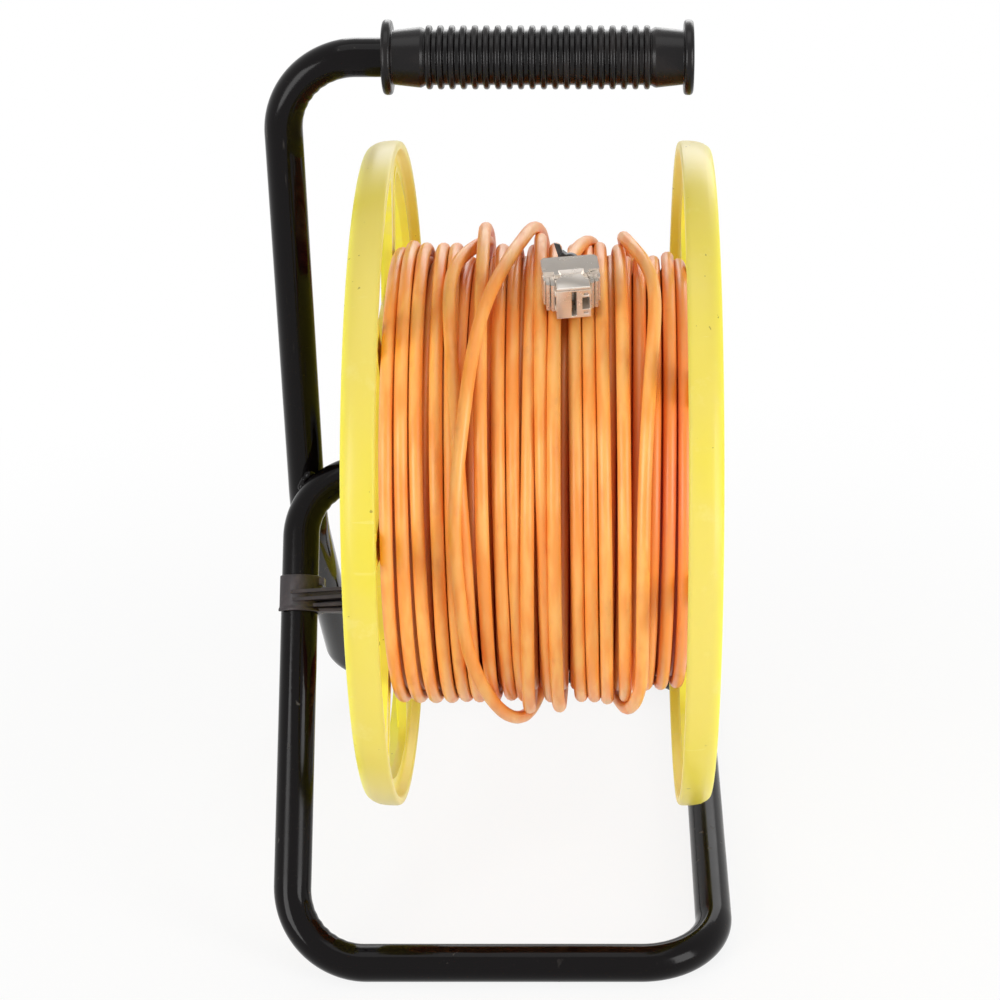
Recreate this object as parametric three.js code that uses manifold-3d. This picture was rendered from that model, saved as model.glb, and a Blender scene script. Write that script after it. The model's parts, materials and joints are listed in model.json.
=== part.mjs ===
// A hand-held cable reel: one bent steel tube is stand, handle and axle in one,
// and a moulded drum turns on the axle with a wound data cable and its jack.
// Millimetres, +Z up. The part stands on Z = 0, with its origin under the middle of its box.
import * as THREE from "three";
import { mergeVertices } from "three/addons/utils/BufferGeometryUtils.js";
import Module from "manifold-3d";

const wasm = await Module();
wasm.setup();

// ---------- driving dimensions ----------
const GAP = 0.3; // clearance that touching pieces keep

// frame tube
const TUBE_R = 8.5;
const TUBE_WALL = 1.5;
const TUBE_SIDES = 14;
const BORE_SIDES = 8;
const TRACK = 192.5; // left leg to right floor bar, centre to centre
const BASE_DEPTH = 268; // front floor bar to rear floor bar, centre to centre
const HUB_Z = 190; // axle height
const HANDLE_Z = 389.5;
const CORNER_R = 34; // bends of the floor loop and the handle
const AXLE_BEND_R = 30;
const KNEE_R = 60; // bend where the handle post turns into the rear leg
const KNEE_DROP = 27; // knee below the axle's height
const WELD_R = 4.2;
const WELD_LUMPS = [[0.9, 6], [0.4, 1.5], [-2.2, 3.5]]; // angle and distance of each lump from the contact

// drum
const DRUM_X = 15.75; // middle of the drum
const FLANGE_R = 155;
const RIM_WIDTH = 14.6;
const RIM_WALL = 4.4;
const DRUM_GAP = 127.4; // between the two rims
const WEB_SET_IN = 5; // rim's inner lip to the web's inner face
const WEB_T = 3;
const DRUM_SIDES = 42;
const WINDOW_COUNT = 7;
const WINDOW_OUTER_R = 143;
const WINDOW_INNER_R = 84;
const WINDOW_TURN = THREE.MathUtils.degToRad(-20); // where the first window stands
const SPOKE_ANGLE = THREE.MathUtils.degToRad(8.6);
const WINDOW_CORNER = 14;
const FRICTION_RING_R = [50, 66];
const FRICTION_RING_H = 2.5;
const SPOKE_RIB_T = 3;
const BARREL_R = 60;
const BARREL_WALL = 2.5;
const SPIGOT_H = 5;
const SPIGOT_WALL = 3;
const BOSS_WALL = 5.5;
const BOSS_SIDES = 21;
const BOSS_IN = 10; // boss length inside the web
const BOSS_OUT = 1.5; // boss length outside the web

// bushes and axle fittings
const BUSH_WALL = 2.4;
const BUSH_LIP = 1.5;
const WASHER_T = 1.5;
const COLLAR_T = 5;
const SNAP_RING_T = 1.6;
const SNAP_RING_R = 11;
const SNAP_RING_SLOT = 5;
const GROOVE_R = 7.8; // floor of the snap ring's groove
const AXLE_OVERHANG = 4; // axle beyond the right washer
const PLUG_LENGTH = 5;
const PLUG_HEAD = 2.4;

// tie bolts
const TIE_COUNT = 4;
const TIE_CIRCLE_R = 42;
const TIE_R = 2.5;
const TIE_HEAD_R = 4.6;
const TIE_HEAD_H = 3.4;

// grip
const GRIP_LENGTH = 136.6;
const GRIP_COLLAR_R = 16.2;
const GRIP_COLLAR_T = 4.8;
const GRIP_COLLAR_EDGE = 1.2;
const GRIP_NECK_R = 11.9; // plain end beside its collar
const GRIP_PLAIN_R = 13.1; // plain end beside the ribs
const GRIP_PLAIN_LENGTH = 12.4;
const GRIP_RIB_R = 13.8;
const GRIP_GROOVE_R = 11.6;
const GRIP_RIBS = 20;
const GRIP_SIDES = 14;

// cable
const CABLE_R = 3;
const LAYER_R = 106; // centre of the outermost full layer
const LAYER_LOOPS = 18;
const WIND_END_GAP = 1.6; // layer's outer turn to the web
const OVER_CLIMB = 6.6; // last turn lies this much further out
const LOOP_STEPS = 24;
const STUB_LENGTH = 22; // stretch where the cable climbs out of the layers beneath
const STUB_STEPS = 4;
const STUB_SINK = 2; // the stub starts this much deeper than a cable's width
const START_ANGLE = 0.3 * Math.PI; // where the layer begins
const CLIMB_TURNS = 0.35; // share of a turn in which the cable climbs onto its own layer
const BACK_TURNS = 1.42; // turns from the climb to the jack
const LIFT_ANGLE = THREE.MathUtils.degToRad(38); // angle over which the cable rises to the jack
const CABLE_SIDES = 6;

// jack on the cable's end
const JACK_X = 14.6; // from the middle of the drum
const JACK_ANGLE = THREE.MathUtils.degToRad(19.5); // forward of the drum's top
const JACK_LENGTH = 30;
const JACK_WIDTH = 17.6;
const JACK_HEIGHT = 15.6;
const JACK_ENTRY_H = 7; // cable's centre above the jack's underside
const PORT_W = 8.2; // the port lies on its side, with its latch notch to the right
const PORT_H = 11.8;
const PORT_DEPTH = 13;
const PORT_NOTCH_W = 2.2;
const PORT_NOTCH_H = 6.2;
const SADDLE_WALL = 3.6;
const SADDLE_LENGTH = 14;
const SADDLE_CROWN = 1.7;
const SADDLE_SET_IN = 1; // saddle's rear from the housing's rear
const FLANK_FLOOR = 2; // flanks' lower edge above the housing's underside
const FLANK_REACH = 4; // flanks run this much further forward than the crown
const HEM_T = 0.8;
const HEM_LENGTH = 3;
const LATCH_LENGTH = 8.5;
const LATCH_FLAT = 6; // full height as far as here, then a bevel
const LATCH_LIP = 0.8;
const LATCH_WIDTH = 12.4;
const CONTACT_COUNT = 8;
const CONTACT_PITCH = 1.02;
const CONTACT_LENGTH = 9;
const CONTACT_W = 0.44;
const CONTACT_BAR = [1.2, 1.6]; // depth and width of the bar that holds the contacts
const TIE_BAND_T = 1.1;
const TIE_BAND_W = 2.6;
const TIE_BLOCK = [4.4, 3.1]; // head's width and height
const TIE_TAIL = [1, 2.4, 7]; // thickness, width and length of the cut tail
const TIE_TAIL_LEAN = -0.35;

// brake clip on the front leg
const BRAKE_R = 58; // clip's distance from the axle, along the leg
const CLIP_H = 17;
const CLIP_WALL = 1.6;
const CLIP_START = THREE.MathUtils.degToRad(-56); // band's free end, from the front towards the drum
const CLIP_WRAP = THREE.MathUtils.degToRad(250);
const CLIP_STEPS = 20;
const PAD_R = 7;
const PAD_T = 4;
const PAD_UP = -1; // pad's middle from the band's middle, up the leg
const PAD_FORWARD = 4; // pad's middle in front of the leg's axis
const PAD_PLATE_T = 2.6;
const ARM_WEB_T = 2.2;
const ARM_TOP = 3; // arm's upper and lower edges from the band's middle
const ARM_LOW = -8.5;
const ARM_RIB_T = 1.8;
const ARM_RIBS = [[0, 2.1], [-3.6, -1.2], [-6, -4.6], [-7.6, -7.6]]; // height of each at the band and at the pad

// plain round fittings
const RING_SIDES = 24;
const BARREL_SIDES = 32;

// ---------- worked-out places ----------
const FLOOR_Z = TUBE_R * Math.cos(Math.PI / TUBE_SIDES); // floor bars rest on a flat of their section
const HALF_TRACK = TRACK / 2;
const HALF_DEPTH = BASE_DEPTH / 2;
const BORE_R = TUBE_R - TUBE_WALL;
const WEB_IN = DRUM_GAP / 2 + WEB_SET_IN; // web's inner face from the drum's middle
const WEB_OUT = WEB_IN + WEB_T;
const RIM_IN = DRUM_GAP / 2;
const RIM_OUT = RIM_IN + RIM_WIDTH;
const BUSH_IN_R = TUBE_R + GAP;
const BUSH_OUT_R = BUSH_IN_R + BUSH_WALL;
const BOSS_BORE_R = BUSH_OUT_R + GAP;
const BOSS_R = BOSS_BORE_R + BOSS_WALL;
const BOSS_END = WEB_OUT + BOSS_OUT;
const BUSH_END = BOSS_END + GAP + BUSH_LIP;
const WASHER_AT = BUSH_END + GAP;
const SNAP_RING_AT = WASHER_AT + WASHER_T + GAP;
const AXLE_END = WASHER_AT + WASHER_T + AXLE_OVERHANG;
const FRICTION_FACE = WEB_OUT + FRICTION_RING_H;
const GRIP_END = GRIP_LENGTH / 2;
const CABLE_LAYER_OUT = LAYER_R + CABLE_R;

const materials = {
  paintedTube: new THREE.MeshStandardMaterial({ color: 0x0b0b0c, roughness: 0.22, metalness: 0.1 }),
  gripPlastic: new THREE.MeshStandardMaterial({ color: 0x141415, roughness: 0.42, metalness: 0 }),
  drumPlastic: new THREE.MeshStandardMaterial({ color: 0xf2e21c, roughness: 0.45, metalness: 0 }),
  bushPlastic: new THREE.MeshStandardMaterial({ color: 0xd9d6cc, roughness: 0.5, metalness: 0 }),
  zincSteel: new THREE.MeshStandardMaterial({ color: 0xb4b6b8, roughness: 0.35, metalness: 0.9 }),
  cableSheath: new THREE.MeshStandardMaterial({ color: 0xe8702a, roughness: 0.5, metalness: 0 }),
  jackMetal: new THREE.MeshStandardMaterial({ color: 0xa8a49c, roughness: 0.32, metalness: 0.9 }),
  goldContact: new THREE.MeshStandardMaterial({ color: 0xc9a24a, roughness: 0.3, metalness: 1 }),
  clampPlastic: new THREE.MeshStandardMaterial({ color: 0x2b2b2d, roughness: 0.55, metalness: 0 }),
  brakeRubber: new THREE.MeshStandardMaterial({ color: 0x1a1a1a, roughness: 0.9, metalness: 0 }),
  tiePlastic: new THREE.MeshStandardMaterial({ color: 0x101010, roughness: 0.5, metalness: 0 }),
};

// ---------- helpers ----------
function toSolid(geometry) {
  const bare = geometry.clone();
  bare.deleteAttribute("normal");
  bare.deleteAttribute("uv");
  const merged = mergeVertices(bare, 1e-4);
  return new wasm.Manifold(
    new wasm.Mesh({
      numProp: 3,
      vertProperties: merged.attributes.position.array,
      triVerts: new Uint32Array(merged.index.array),
    }),
  );
}

function toGeometry(solid) {
  const mesh = solid.getMesh();
  const geometry = new THREE.BufferGeometry();
  geometry.setAttribute("position", new THREE.BufferAttribute(Float32Array.from(mesh.vertProperties), 3));
  geometry.setIndex(new THREE.BufferAttribute(Uint32Array.from(mesh.triVerts), 1));
  geometry.computeVertexNormals();
  return geometry;
}

function join(first, ...rest) {
  return toGeometry(rest.reduce((sum, next) => sum.add(toSolid(next)), toSolid(first)));
}

function cut(body, ...tools) {
  return toGeometry(tools.reduce((left, tool) => left.subtract(toSolid(tool)), toSolid(body)));
}

// Turns a closed outline of [radius, height] points about the Y axis.
function revolve(outline, segments) {
  const area = outline.reduce((sum, [r, y], i) => {
    const [nextR, nextY] = outline[(i + 1) % outline.length];
    return sum + r * nextY - nextR * y;
  }, 0);
  const ordered = area > 0 ? outline : [...outline].reverse();
  const points = [...ordered, ordered[0]].map(([r, y]) => new THREE.Vector2(r, y));
  return new THREE.LatheGeometry(points, segments);
}

function ring(innerR, outerR, low, high, segments) {
  return revolve([[innerR, low], [outerR, low], [outerR, high], [innerR, high]], segments);
}

function rod(radius, low, high, segments) {
  return new THREE.CylinderGeometry(radius, radius, high - low, segments).translate(0, (low + high) / 2, 0);
}

// A box from its lowest to its highest corner.
function block([x0, y0, z0], [x1, y1, z1]) {
  return new THREE.BoxGeometry(x1 - x0, y1 - y0, z1 - z0).translate((x0 + x1) / 2, (y0 + y1) / 2, (z0 + z1) / 2);
}

// An outline in X and Z, extruded along Y from low to high.
function slab(outline, low, high) {
  const shape = new THREE.Shape(outline.map(([x, z]) => new THREE.Vector2(x, -z)));
  return extrudeAlongY(shape, low, high);
}

function extrudeAlongY(shape, low, high, curveSegments = 6) {
  const settings = { depth: high - low, bevelEnabled: false, curveSegments };
  return new THREE.ExtrudeGeometry(shape, settings).rotateX(-Math.PI / 2).translate(0, low, 0);
}

function piece(name, geometry, material, parent) {
  const mesh = new THREE.Mesh(geometry, material);
  mesh.name = name;
  parent.add(mesh);
  return mesh;
}

// A regular polygon with a flat square to its own X axis.
function polygon(radius, sides) {
  return Array.from({ length: sides }, (_, i) => {
    const angle = ((i + 0.5) / sides) * 2 * Math.PI;
    return new THREE.Vector2(radius * Math.cos(angle), radius * Math.sin(angle));
  });
}

function sectionOf(radius, sides) {
  return new THREE.Shape(polygon(radius, sides));
}

// A route that an extrusion follows station by station, so that rings land where the route bends.
// Each station has a point, a tangent and a normal that the section's X axis follows.
class Route extends THREE.Curve {
  constructor(points, tangents, normals) {
    super();
    this.points = points;
    this.tangents = tangents;
    this.normals = normals;
  }
  getSpacedPoints() {
    return this.points;
  }
  computeFrenetFrames() {
    const binormals = this.tangents.map((t, i) => new THREE.Vector3().crossVectors(t, this.normals[i]));
    return { tangents: this.tangents, normals: this.normals, binormals };
  }
}

function sweep(route, section) {
  const settings = { steps: route.points.length - 1, extrudePath: route };
  return new THREE.ExtrudeGeometry(section, settings);
}

// ---------- frame tube ----------
// Straight runs between corners, with an arc of the given radius at each corner between the ends.
function bentRoute(corners, seedNormal, seedCorner) {
  const points = [];
  const tangents = [];
  const add = (p, t) => {
    points.push(p);
    tangents.push(t);
  };
  const way = (a, b) => new THREE.Vector3().subVectors(b, a).normalize();
  add(corners[0].at, way(corners[0].at, corners[1].at));
  let seedStation = 0;
  for (let i = 1; i < corners.length - 1; i++) {
    const { at, radius, steps } = corners[i];
    const arriving = way(corners[i - 1].at, at);
    const leaving = way(at, corners[i + 1].at);
    const turn = arriving.angleTo(leaving);
    const setBack = radius * Math.tan(turn / 2);
    const start = at.clone().addScaledVector(arriving, -setBack);
    const inward = leaving.clone().addScaledVector(arriving, -leaving.dot(arriving)).normalize();
    const centre = start.clone().addScaledVector(inward, radius);
    for (let k = 0; k <= steps; k++) {
      const a = (turn * k) / steps;
      const p = centre
        .clone()
        .addScaledVector(inward, -radius * Math.cos(a))
        .addScaledVector(arriving, radius * Math.sin(a));
      const t = arriving.clone().multiplyScalar(Math.cos(a)).addScaledVector(inward, Math.sin(a));
      add(p, t);
    }
    if (i === seedCorner) seedStation = points.length - 1;
  }
  const last = corners.at(-1).at;
  add(last, way(corners.at(-2).at, last));

  // The section is carried along both ways from the seed station without twisting.
  const normals = points.map(() => seedNormal.clone());
  const carry = (from, to) => {
    const turn = new THREE.Quaternion().setFromUnitVectors(tangents[from], tangents[to]);
    normals[to] = normals[from].clone().applyQuaternion(turn);
  };
  for (let i = seedStation; i < points.length - 1; i++) carry(i, i + 1);
  for (let i = seedStation; i > 0; i--) carry(i, i - 1);
  return new Route(points, tangents, normals);
}

// The handle post passes behind the axle's bend and touches it there, where the two are welded.
const legLean = Math.atan2(HALF_DEPTH, HUB_Z - FLOOR_Z);
const legUp = new THREE.Vector3(0, Math.sin(legLean), Math.cos(legLean));
const bendSag = AXLE_BEND_R * (1 - Math.SQRT1_2); // middle of the axle's bend from its corner, each way
const weldBehind = Math.sqrt((2 * TUBE_R + GAP) ** 2 - bendSag ** 2) - bendSag * Math.sin(legLean);
const kneeZ = HUB_Z - KNEE_DROP;
const postBehind = (weldBehind * (HANDLE_Z - kneeZ)) / (HANDLE_Z - HUB_Z + bendSag * Math.cos(legLean));

const tubeCorners = [
  { at: new THREE.Vector3(DRUM_X + GRIP_END - GRIP_COLLAR_T, 0, HANDLE_Z) },
  { at: new THREE.Vector3(-HALF_TRACK, 0, HANDLE_Z), radius: CORNER_R, steps: 7 },
  { at: new THREE.Vector3(-HALF_TRACK, postBehind, kneeZ), radius: KNEE_R, steps: 3 },
  { at: new THREE.Vector3(-HALF_TRACK, HALF_DEPTH, FLOOR_Z), radius: CORNER_R, steps: 6 },
  { at: new THREE.Vector3(HALF_TRACK, HALF_DEPTH, FLOOR_Z), radius: CORNER_R, steps: 6 },
  { at: new THREE.Vector3(HALF_TRACK, -HALF_DEPTH, FLOOR_Z), radius: CORNER_R, steps: 6 },
  { at: new THREE.Vector3(-HALF_TRACK, -HALF_DEPTH, FLOOR_Z), radius: CORNER_R, steps: 6 },
  { at: new THREE.Vector3(-HALF_TRACK, 0, HUB_Z), radius: AXLE_BEND_R, steps: 6 },
  { at: new THREE.Vector3(DRUM_X + AXLE_END, 0, HUB_Z) },
];
const REAR_LEFT_CORNER = 3;
const floorUp = new THREE.Vector3(0, 0, 1);

function weldBead(angle, lift) {
  const along = new THREE.Vector3(-HALF_TRACK + bendSag, -bendSag * Math.sin(legLean), -bendSag * Math.cos(legLean));
  const towards = new THREE.Vector3(-bendSag, weldBehind + bendSag * Math.sin(legLean), 0).normalize();
  const bead = new THREE.SphereGeometry(WELD_R, 8, 6);
  return bead.translate(
    along.x + towards.x * TUBE_R + lift * Math.cos(angle),
    along.y + towards.y * TUBE_R,
    HUB_Z + along.z + lift * Math.sin(angle),
  );
}

function frameTube() {
  const route = bentRoute(tubeCorners, floorUp, REAR_LEFT_CORNER);
  const section = sectionOf(TUBE_R, TUBE_SIDES);
  section.holes.push(new THREE.Path(polygon(BORE_R, BORE_SIDES)));
  const tube = sweep(route, section);
  const groove = ring(GROOVE_R, 2 * TUBE_R, SNAP_RING_AT - GAP, SNAP_RING_AT + SNAP_RING_T + GAP, RING_SIDES)
    .rotateZ(-Math.PI / 2)
    .translate(DRUM_X, 0, HUB_Z);
  const bead = WELD_LUMPS.map(([angle, lift]) => weldBead(angle, lift));
  const bore = sweep(route, sectionOf(BORE_R, BORE_SIDES));
  const beads = cut(join(...bead), bore);
  return cut(join(tube, beads), groove);
}

// ---------- grip ----------
function gripSleeve() {
  const bore = TUBE_R + GAP;
  const ribRun = GRIP_LENGTH - 2 * (GRIP_COLLAR_T + GRIP_PLAIN_LENGTH);
  const pitch = ribRun / GRIP_RIBS;
  const collar = [
    [GRIP_COLLAR_R - GRIP_COLLAR_EDGE, 0],
    [GRIP_COLLAR_R, GRIP_COLLAR_EDGE],
    [GRIP_COLLAR_R, GRIP_COLLAR_T - GRIP_COLLAR_EDGE],
    [GRIP_COLLAR_R - GRIP_COLLAR_EDGE, GRIP_COLLAR_T],
    [GRIP_NECK_R, GRIP_COLLAR_T],
    [GRIP_PLAIN_R, GRIP_COLLAR_T + GRIP_PLAIN_LENGTH - 0.1],
  ];
  const lower = collar.map(([r, y]) => [r, y - GRIP_END]);
  const upper = collar.map(([r, y]) => [r, GRIP_END - y]).reverse();
  const ribs = [];
  for (let i = 0; i < GRIP_RIBS; i++) {
    const middle = (i + 0.5) * pitch - ribRun / 2;
    ribs.push([GRIP_GROOVE_R, middle - 0.36 * pitch]);
    ribs.push([GRIP_RIB_R, middle]);
    ribs.push([GRIP_GROOVE_R, middle + 0.36 * pitch]);
  }
  const outline = [[bore, -GRIP_END], ...lower, ...ribs, ...upper, [bore, GRIP_END]];
  return revolve(outline, GRIP_SIDES);
}

// A moulded plug: a shank in the tube's bore and a domed head over its end.
function tubePlug() {
  const shank = BORE_R * Math.cos(Math.PI / BORE_SIDES) - GAP;
  const outline = [
    [0, -PLUG_LENGTH],
    [shank, -PLUG_LENGTH],
    [shank, GAP],
    [TUBE_R, GAP],
    [TUBE_R, GAP + PLUG_HEAD / 2],
    [TUBE_R * 0.7, GAP + PLUG_HEAD],
    [0, GAP + PLUG_HEAD],
  ];
  return revolve(outline, 12);
}

// ---------- drum ----------
function polar(radius, angle) {
  return new THREE.Vector2(radius * Math.cos(angle), radius * Math.sin(angle));
}

// A window between two spokes: a ring segment with rounded corners.
function windowShape(middle) {
  const half = Math.PI / WINDOW_COUNT - SPOKE_ANGLE / 2;
  const outerTurn = WINDOW_CORNER / WINDOW_OUTER_R;
  const innerTurn = WINDOW_CORNER / WINDOW_INNER_R;
  const shape = new THREE.Shape();
  const round = (corner, to) => shape.quadraticCurveTo(corner.x, corner.y, to.x, to.y);
  shape.absarc(0, 0, WINDOW_OUTER_R, middle - half + outerTurn, middle + half - outerTurn, false);
  round(polar(WINDOW_OUTER_R, middle + half), polar(WINDOW_OUTER_R - WINDOW_CORNER, middle + half));
  const innerSide = polar(WINDOW_INNER_R + WINDOW_CORNER, middle + half);
  shape.lineTo(innerSide.x, innerSide.y);
  round(polar(WINDOW_INNER_R, middle + half), polar(WINDOW_INNER_R, middle + half - innerTurn));
  shape.absarc(0, 0, WINDOW_INNER_R, middle + half - innerTurn, middle - half + innerTurn, true);
  round(polar(WINDOW_INNER_R, middle - half), polar(WINDOW_INNER_R + WINDOW_CORNER, middle - half));
  const outerSide = polar(WINDOW_OUTER_R - WINDOW_CORNER, middle - half);
  shape.lineTo(outerSide.x, outerSide.y);
  round(polar(WINDOW_OUTER_R, middle - half), polar(WINDOW_OUTER_R, middle - half + outerTurn));
  return shape;
}

// The flange stands for both sides: heights are distances from the drum's middle plane.
function flangeBody() {
  const spigotR = BARREL_R - BARREL_WALL - GAP;
  const outline = [
    [BOSS_BORE_R, WEB_IN],
    [spigotR - SPIGOT_WALL, WEB_IN],
    [spigotR - SPIGOT_WALL, WEB_IN - SPIGOT_H],
    [spigotR, WEB_IN - SPIGOT_H],
    [spigotR, WEB_IN],
    [FLANGE_R - RIM_WALL - 3, WEB_IN],
    [FLANGE_R - RIM_WALL, RIM_IN],
    [FLANGE_R - 2, RIM_IN],
    [FLANGE_R - 0.5, RIM_IN + 2.5],
    [FLANGE_R, RIM_IN + RIM_WIDTH / 2],
    [FLANGE_R - 0.5, RIM_OUT - 2.5],
    [FLANGE_R - 2, RIM_OUT],
    [FLANGE_R - RIM_WALL, RIM_OUT],
    [FLANGE_R - RIM_WALL, WEB_OUT],
    [FRICTION_RING_R[1], WEB_OUT],
    [FRICTION_RING_R[1], FRICTION_FACE],
    [FRICTION_RING_R[0], FRICTION_FACE],
    [FRICTION_RING_R[0], WEB_OUT],
    [BOSS_BORE_R, WEB_OUT],
  ];
  return revolve(outline, DRUM_SIDES);
}

function tieAngle(i) {
  return ((i + 0.5) / TIE_COUNT) * 2 * Math.PI;
}

function spokeAngle(i) {
  return ((i + 0.5) / WINDOW_COUNT) * 2 * Math.PI + WINDOW_TURN;
}

function flange() {
  const ribs = [];
  const windows = [];
  for (let i = 0; i < WINDOW_COUNT; i++) {
    const ribEnd = FLANGE_R - RIM_WALL / 2;
    const rib = block(
      [FRICTION_RING_R[1] - 1, WEB_OUT - 1, -SPOKE_RIB_T / 2],
      [ribEnd, FRICTION_FACE, SPOKE_RIB_T / 2],
    );
    ribs.push(rib.rotateY(spokeAngle(i)));
    const middle = (i / WINDOW_COUNT) * 2 * Math.PI + WINDOW_TURN;
    windows.push(extrudeAlongY(windowShape(middle), WEB_IN - 1, RIM_OUT, 3));
  }
  const tieHoles = [];
  for (let i = 0; i < TIE_COUNT; i++) {
    const hole = rod(TIE_R + GAP + 0.2, WEB_IN - 1, WEB_OUT + 1, 10);
    tieHoles.push(hole.translate(TIE_CIRCLE_R, 0, 0).rotateY(tieAngle(i)));
  }
  const boss = ring(BOSS_BORE_R, BOSS_R, WEB_IN - BOSS_IN, BOSS_END, BOSS_SIDES);
  const bossBore = rod(BOSS_BORE_R, WEB_IN - 1, WEB_OUT + 1, BOSS_SIDES);
  const web = cut(join(flangeBody(), ...ribs), ...windows, ...tieHoles, bossBore);
  return join(web, boss);
}

// The same moulding turned end for end, so that it closes the drum's left side.
function turnedOver(geometry) {
  return geometry.clone().rotateX(Math.PI);
}

function bush() {
  const outline = [
    [BUSH_IN_R, WEB_IN - BOSS_IN],
    [BUSH_OUT_R, WEB_IN - BOSS_IN],
    [BUSH_OUT_R, BOSS_END + GAP],
    [BOSS_R, BOSS_END + GAP],
    [BOSS_R, BUSH_END],
    [BUSH_IN_R, BUSH_END],
  ];
  return revolve(outline, BOSS_SIDES);
}

// A tie bolt with its head outside one web and its nut outside the other.
function tieBolt(angle) {
  const head = rod(TIE_HEAD_R, -WEB_OUT - GAP - TIE_HEAD_H, -WEB_OUT - GAP, 6);
  const shank = rod(TIE_R, -WEB_OUT - GAP - 1, WEB_OUT + TIE_HEAD_H + 2, 8);
  return join(head, shank).translate(TIE_CIRCLE_R, 0, 0).rotateY(angle);
}

function tieNut(angle) {
  const body = rod(TIE_HEAD_R, WEB_OUT + GAP, WEB_OUT + GAP + TIE_HEAD_H, 6);
  const hole = rod(TIE_R + GAP, WEB_OUT, WEB_OUT + TIE_HEAD_H + 2, 8);
  return cut(body, hole).translate(TIE_CIRCLE_R, 0, 0).rotateY(angle);
}

// An open ring sprung into the axle's groove, which holds the drum on.
function snapRing() {
  const high = SNAP_RING_AT + SNAP_RING_T;
  const closed = ring(GROOVE_R + GAP, SNAP_RING_R, SNAP_RING_AT, high, RING_SIDES);
  const halfSlot = SNAP_RING_SLOT / 2;
  return cut(closed, block([-halfSlot, SNAP_RING_AT - 1, -2 * SNAP_RING_R], [halfSlot, high + 1, 0]));
}

// ---------- cable ----------
const layerHalf = WEB_IN - WIND_END_GAP - CABLE_R; // outermost turns' centres
const layerPitch = (2 * layerHalf) / LAYER_LOOPS;
const coreR = LAYER_R * Math.cos(Math.PI / LOOP_STEPS) - CABLE_R - GAP; // clear of the middle of each step
const overR = LAYER_R + OVER_CLIMB;

function smooth(t) {
  const x = Math.min(Math.max(t, 0), 1);
  return x * x * (3 - 2 * x);
}

// A point on the drum: angle runs from the top towards the front, along the drum's turning sense.
function onDrum(radius, angle, along) {
  return new THREE.Vector3(radius * Math.sin(angle), along, radius * Math.cos(angle));
}

function jackSeat() {
  return onDrum(CABLE_LAYER_OUT + GAP, JACK_ANGLE, JACK_X);
}

// The jack's own axes on the drum: mouth, width and height.
function jackAxes() {
  return {
    mouth: new THREE.Vector3(Math.cos(JACK_ANGLE), 0, -Math.sin(JACK_ANGLE)),
    height: new THREE.Vector3(Math.sin(JACK_ANGLE), 0, Math.cos(JACK_ANGLE)),
  };
}

// The outer layer winds across the drum, climbs onto itself in half a turn at its last edge,
// crosses back over the layer in one turn and runs up to the jack.
function cableStations() {
  const endAngle = 2 * Math.PI * (LAYER_LOOPS + 1) + JACK_ANGLE;
  const climbStart = endAngle - 2 * Math.PI * BACK_TURNS;
  const crossStart = climbStart + 2 * Math.PI * CLIMB_TURNS;
  const { mouth, height } = jackAxes();
  const rear = jackSeat()
    .addScaledVector(mouth, -JACK_LENGTH / 2 - GAP)
    .addScaledVector(height, JACK_ENTRY_H);
  const straight = rear.clone().addScaledVector(mouth, -2 * CABLE_R);
  const stop = endAngle + Math.atan2(straight.dot(mouth), straight.dot(height));
  const straightR = Math.hypot(straight.dot(mouth), straight.dot(height));
  const step = (2 * Math.PI) / LOOP_STEPS;
  const points = [];
  const count = Math.round((stop - START_ANGLE) / step);
  for (let i = 0; i <= count; i++) {
    const angle = START_ANGLE + ((stop - START_ANGLE) * i) / count;
    const wound = (angle - START_ANGLE) / (climbStart - START_ANGLE);
    const layerX = -layerHalf + 2 * layerHalf * Math.min(wound, 1);
    const back = smooth((angle - crossStart) / (stop - crossStart));
    const along = layerX + (JACK_X - layerHalf) * back;
    const climbed = smooth((angle - climbStart) / (crossStart - climbStart));
    const rise = smooth((angle - (stop - LIFT_ANGLE)) / LIFT_ANGLE);
    const radius = LAYER_R + OVER_CLIMB * climbed + (straightR - overR) * rise;
    points.push(onDrum(radius, angle, along));
  }
  const onward = points[1].clone().sub(points[0]).normalize();
  points.unshift(points[0].clone().addScaledVector(onward, -2 * CABLE_R));
  points.push(rear);
  return points;
}

// The least distance between the cable's surface and itself, one loop or more further on.
function leastSelfGap(points) {
  let least = Infinity;
  const segment = new THREE.Line3();
  const nearest = new THREE.Vector3();
  for (let i = 0; i < points.length; i++) {
    for (let k = i + LOOP_STEPS / 2; k < points.length - 1; k++) {
      segment.set(points[k], points[k + 1]);
      segment.closestPointToPoint(points[i], true, nearest);
      least = Math.min(least, nearest.distanceTo(points[i]) - 2 * CABLE_R);
    }
  }
  return least;
}

// Tangents by neighbours, with the section's X axis kept pointing away from the drum's axis.
function woundRoute(points, firstTangent, lastTangent) {
  const last = points.length - 1;
  const tangents = points.map((p, i) => {
    const from = points[Math.max(i - 1, 0)];
    const to = points[Math.min(i + 1, last)];
    return to.clone().sub(from).normalize();
  });
  if (firstTangent) tangents[0] = firstTangent.clone();
  if (lastTangent) tangents[last] = lastTangent.clone();
  const normals = points.map((p, i) => {
    const outward = new THREE.Vector3(p.x, 0, p.z);
    return outward.addScaledVector(tangents[i], -outward.dot(tangents[i])).normalize();
  });
  return new Route(points, tangents, normals);
}

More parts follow.
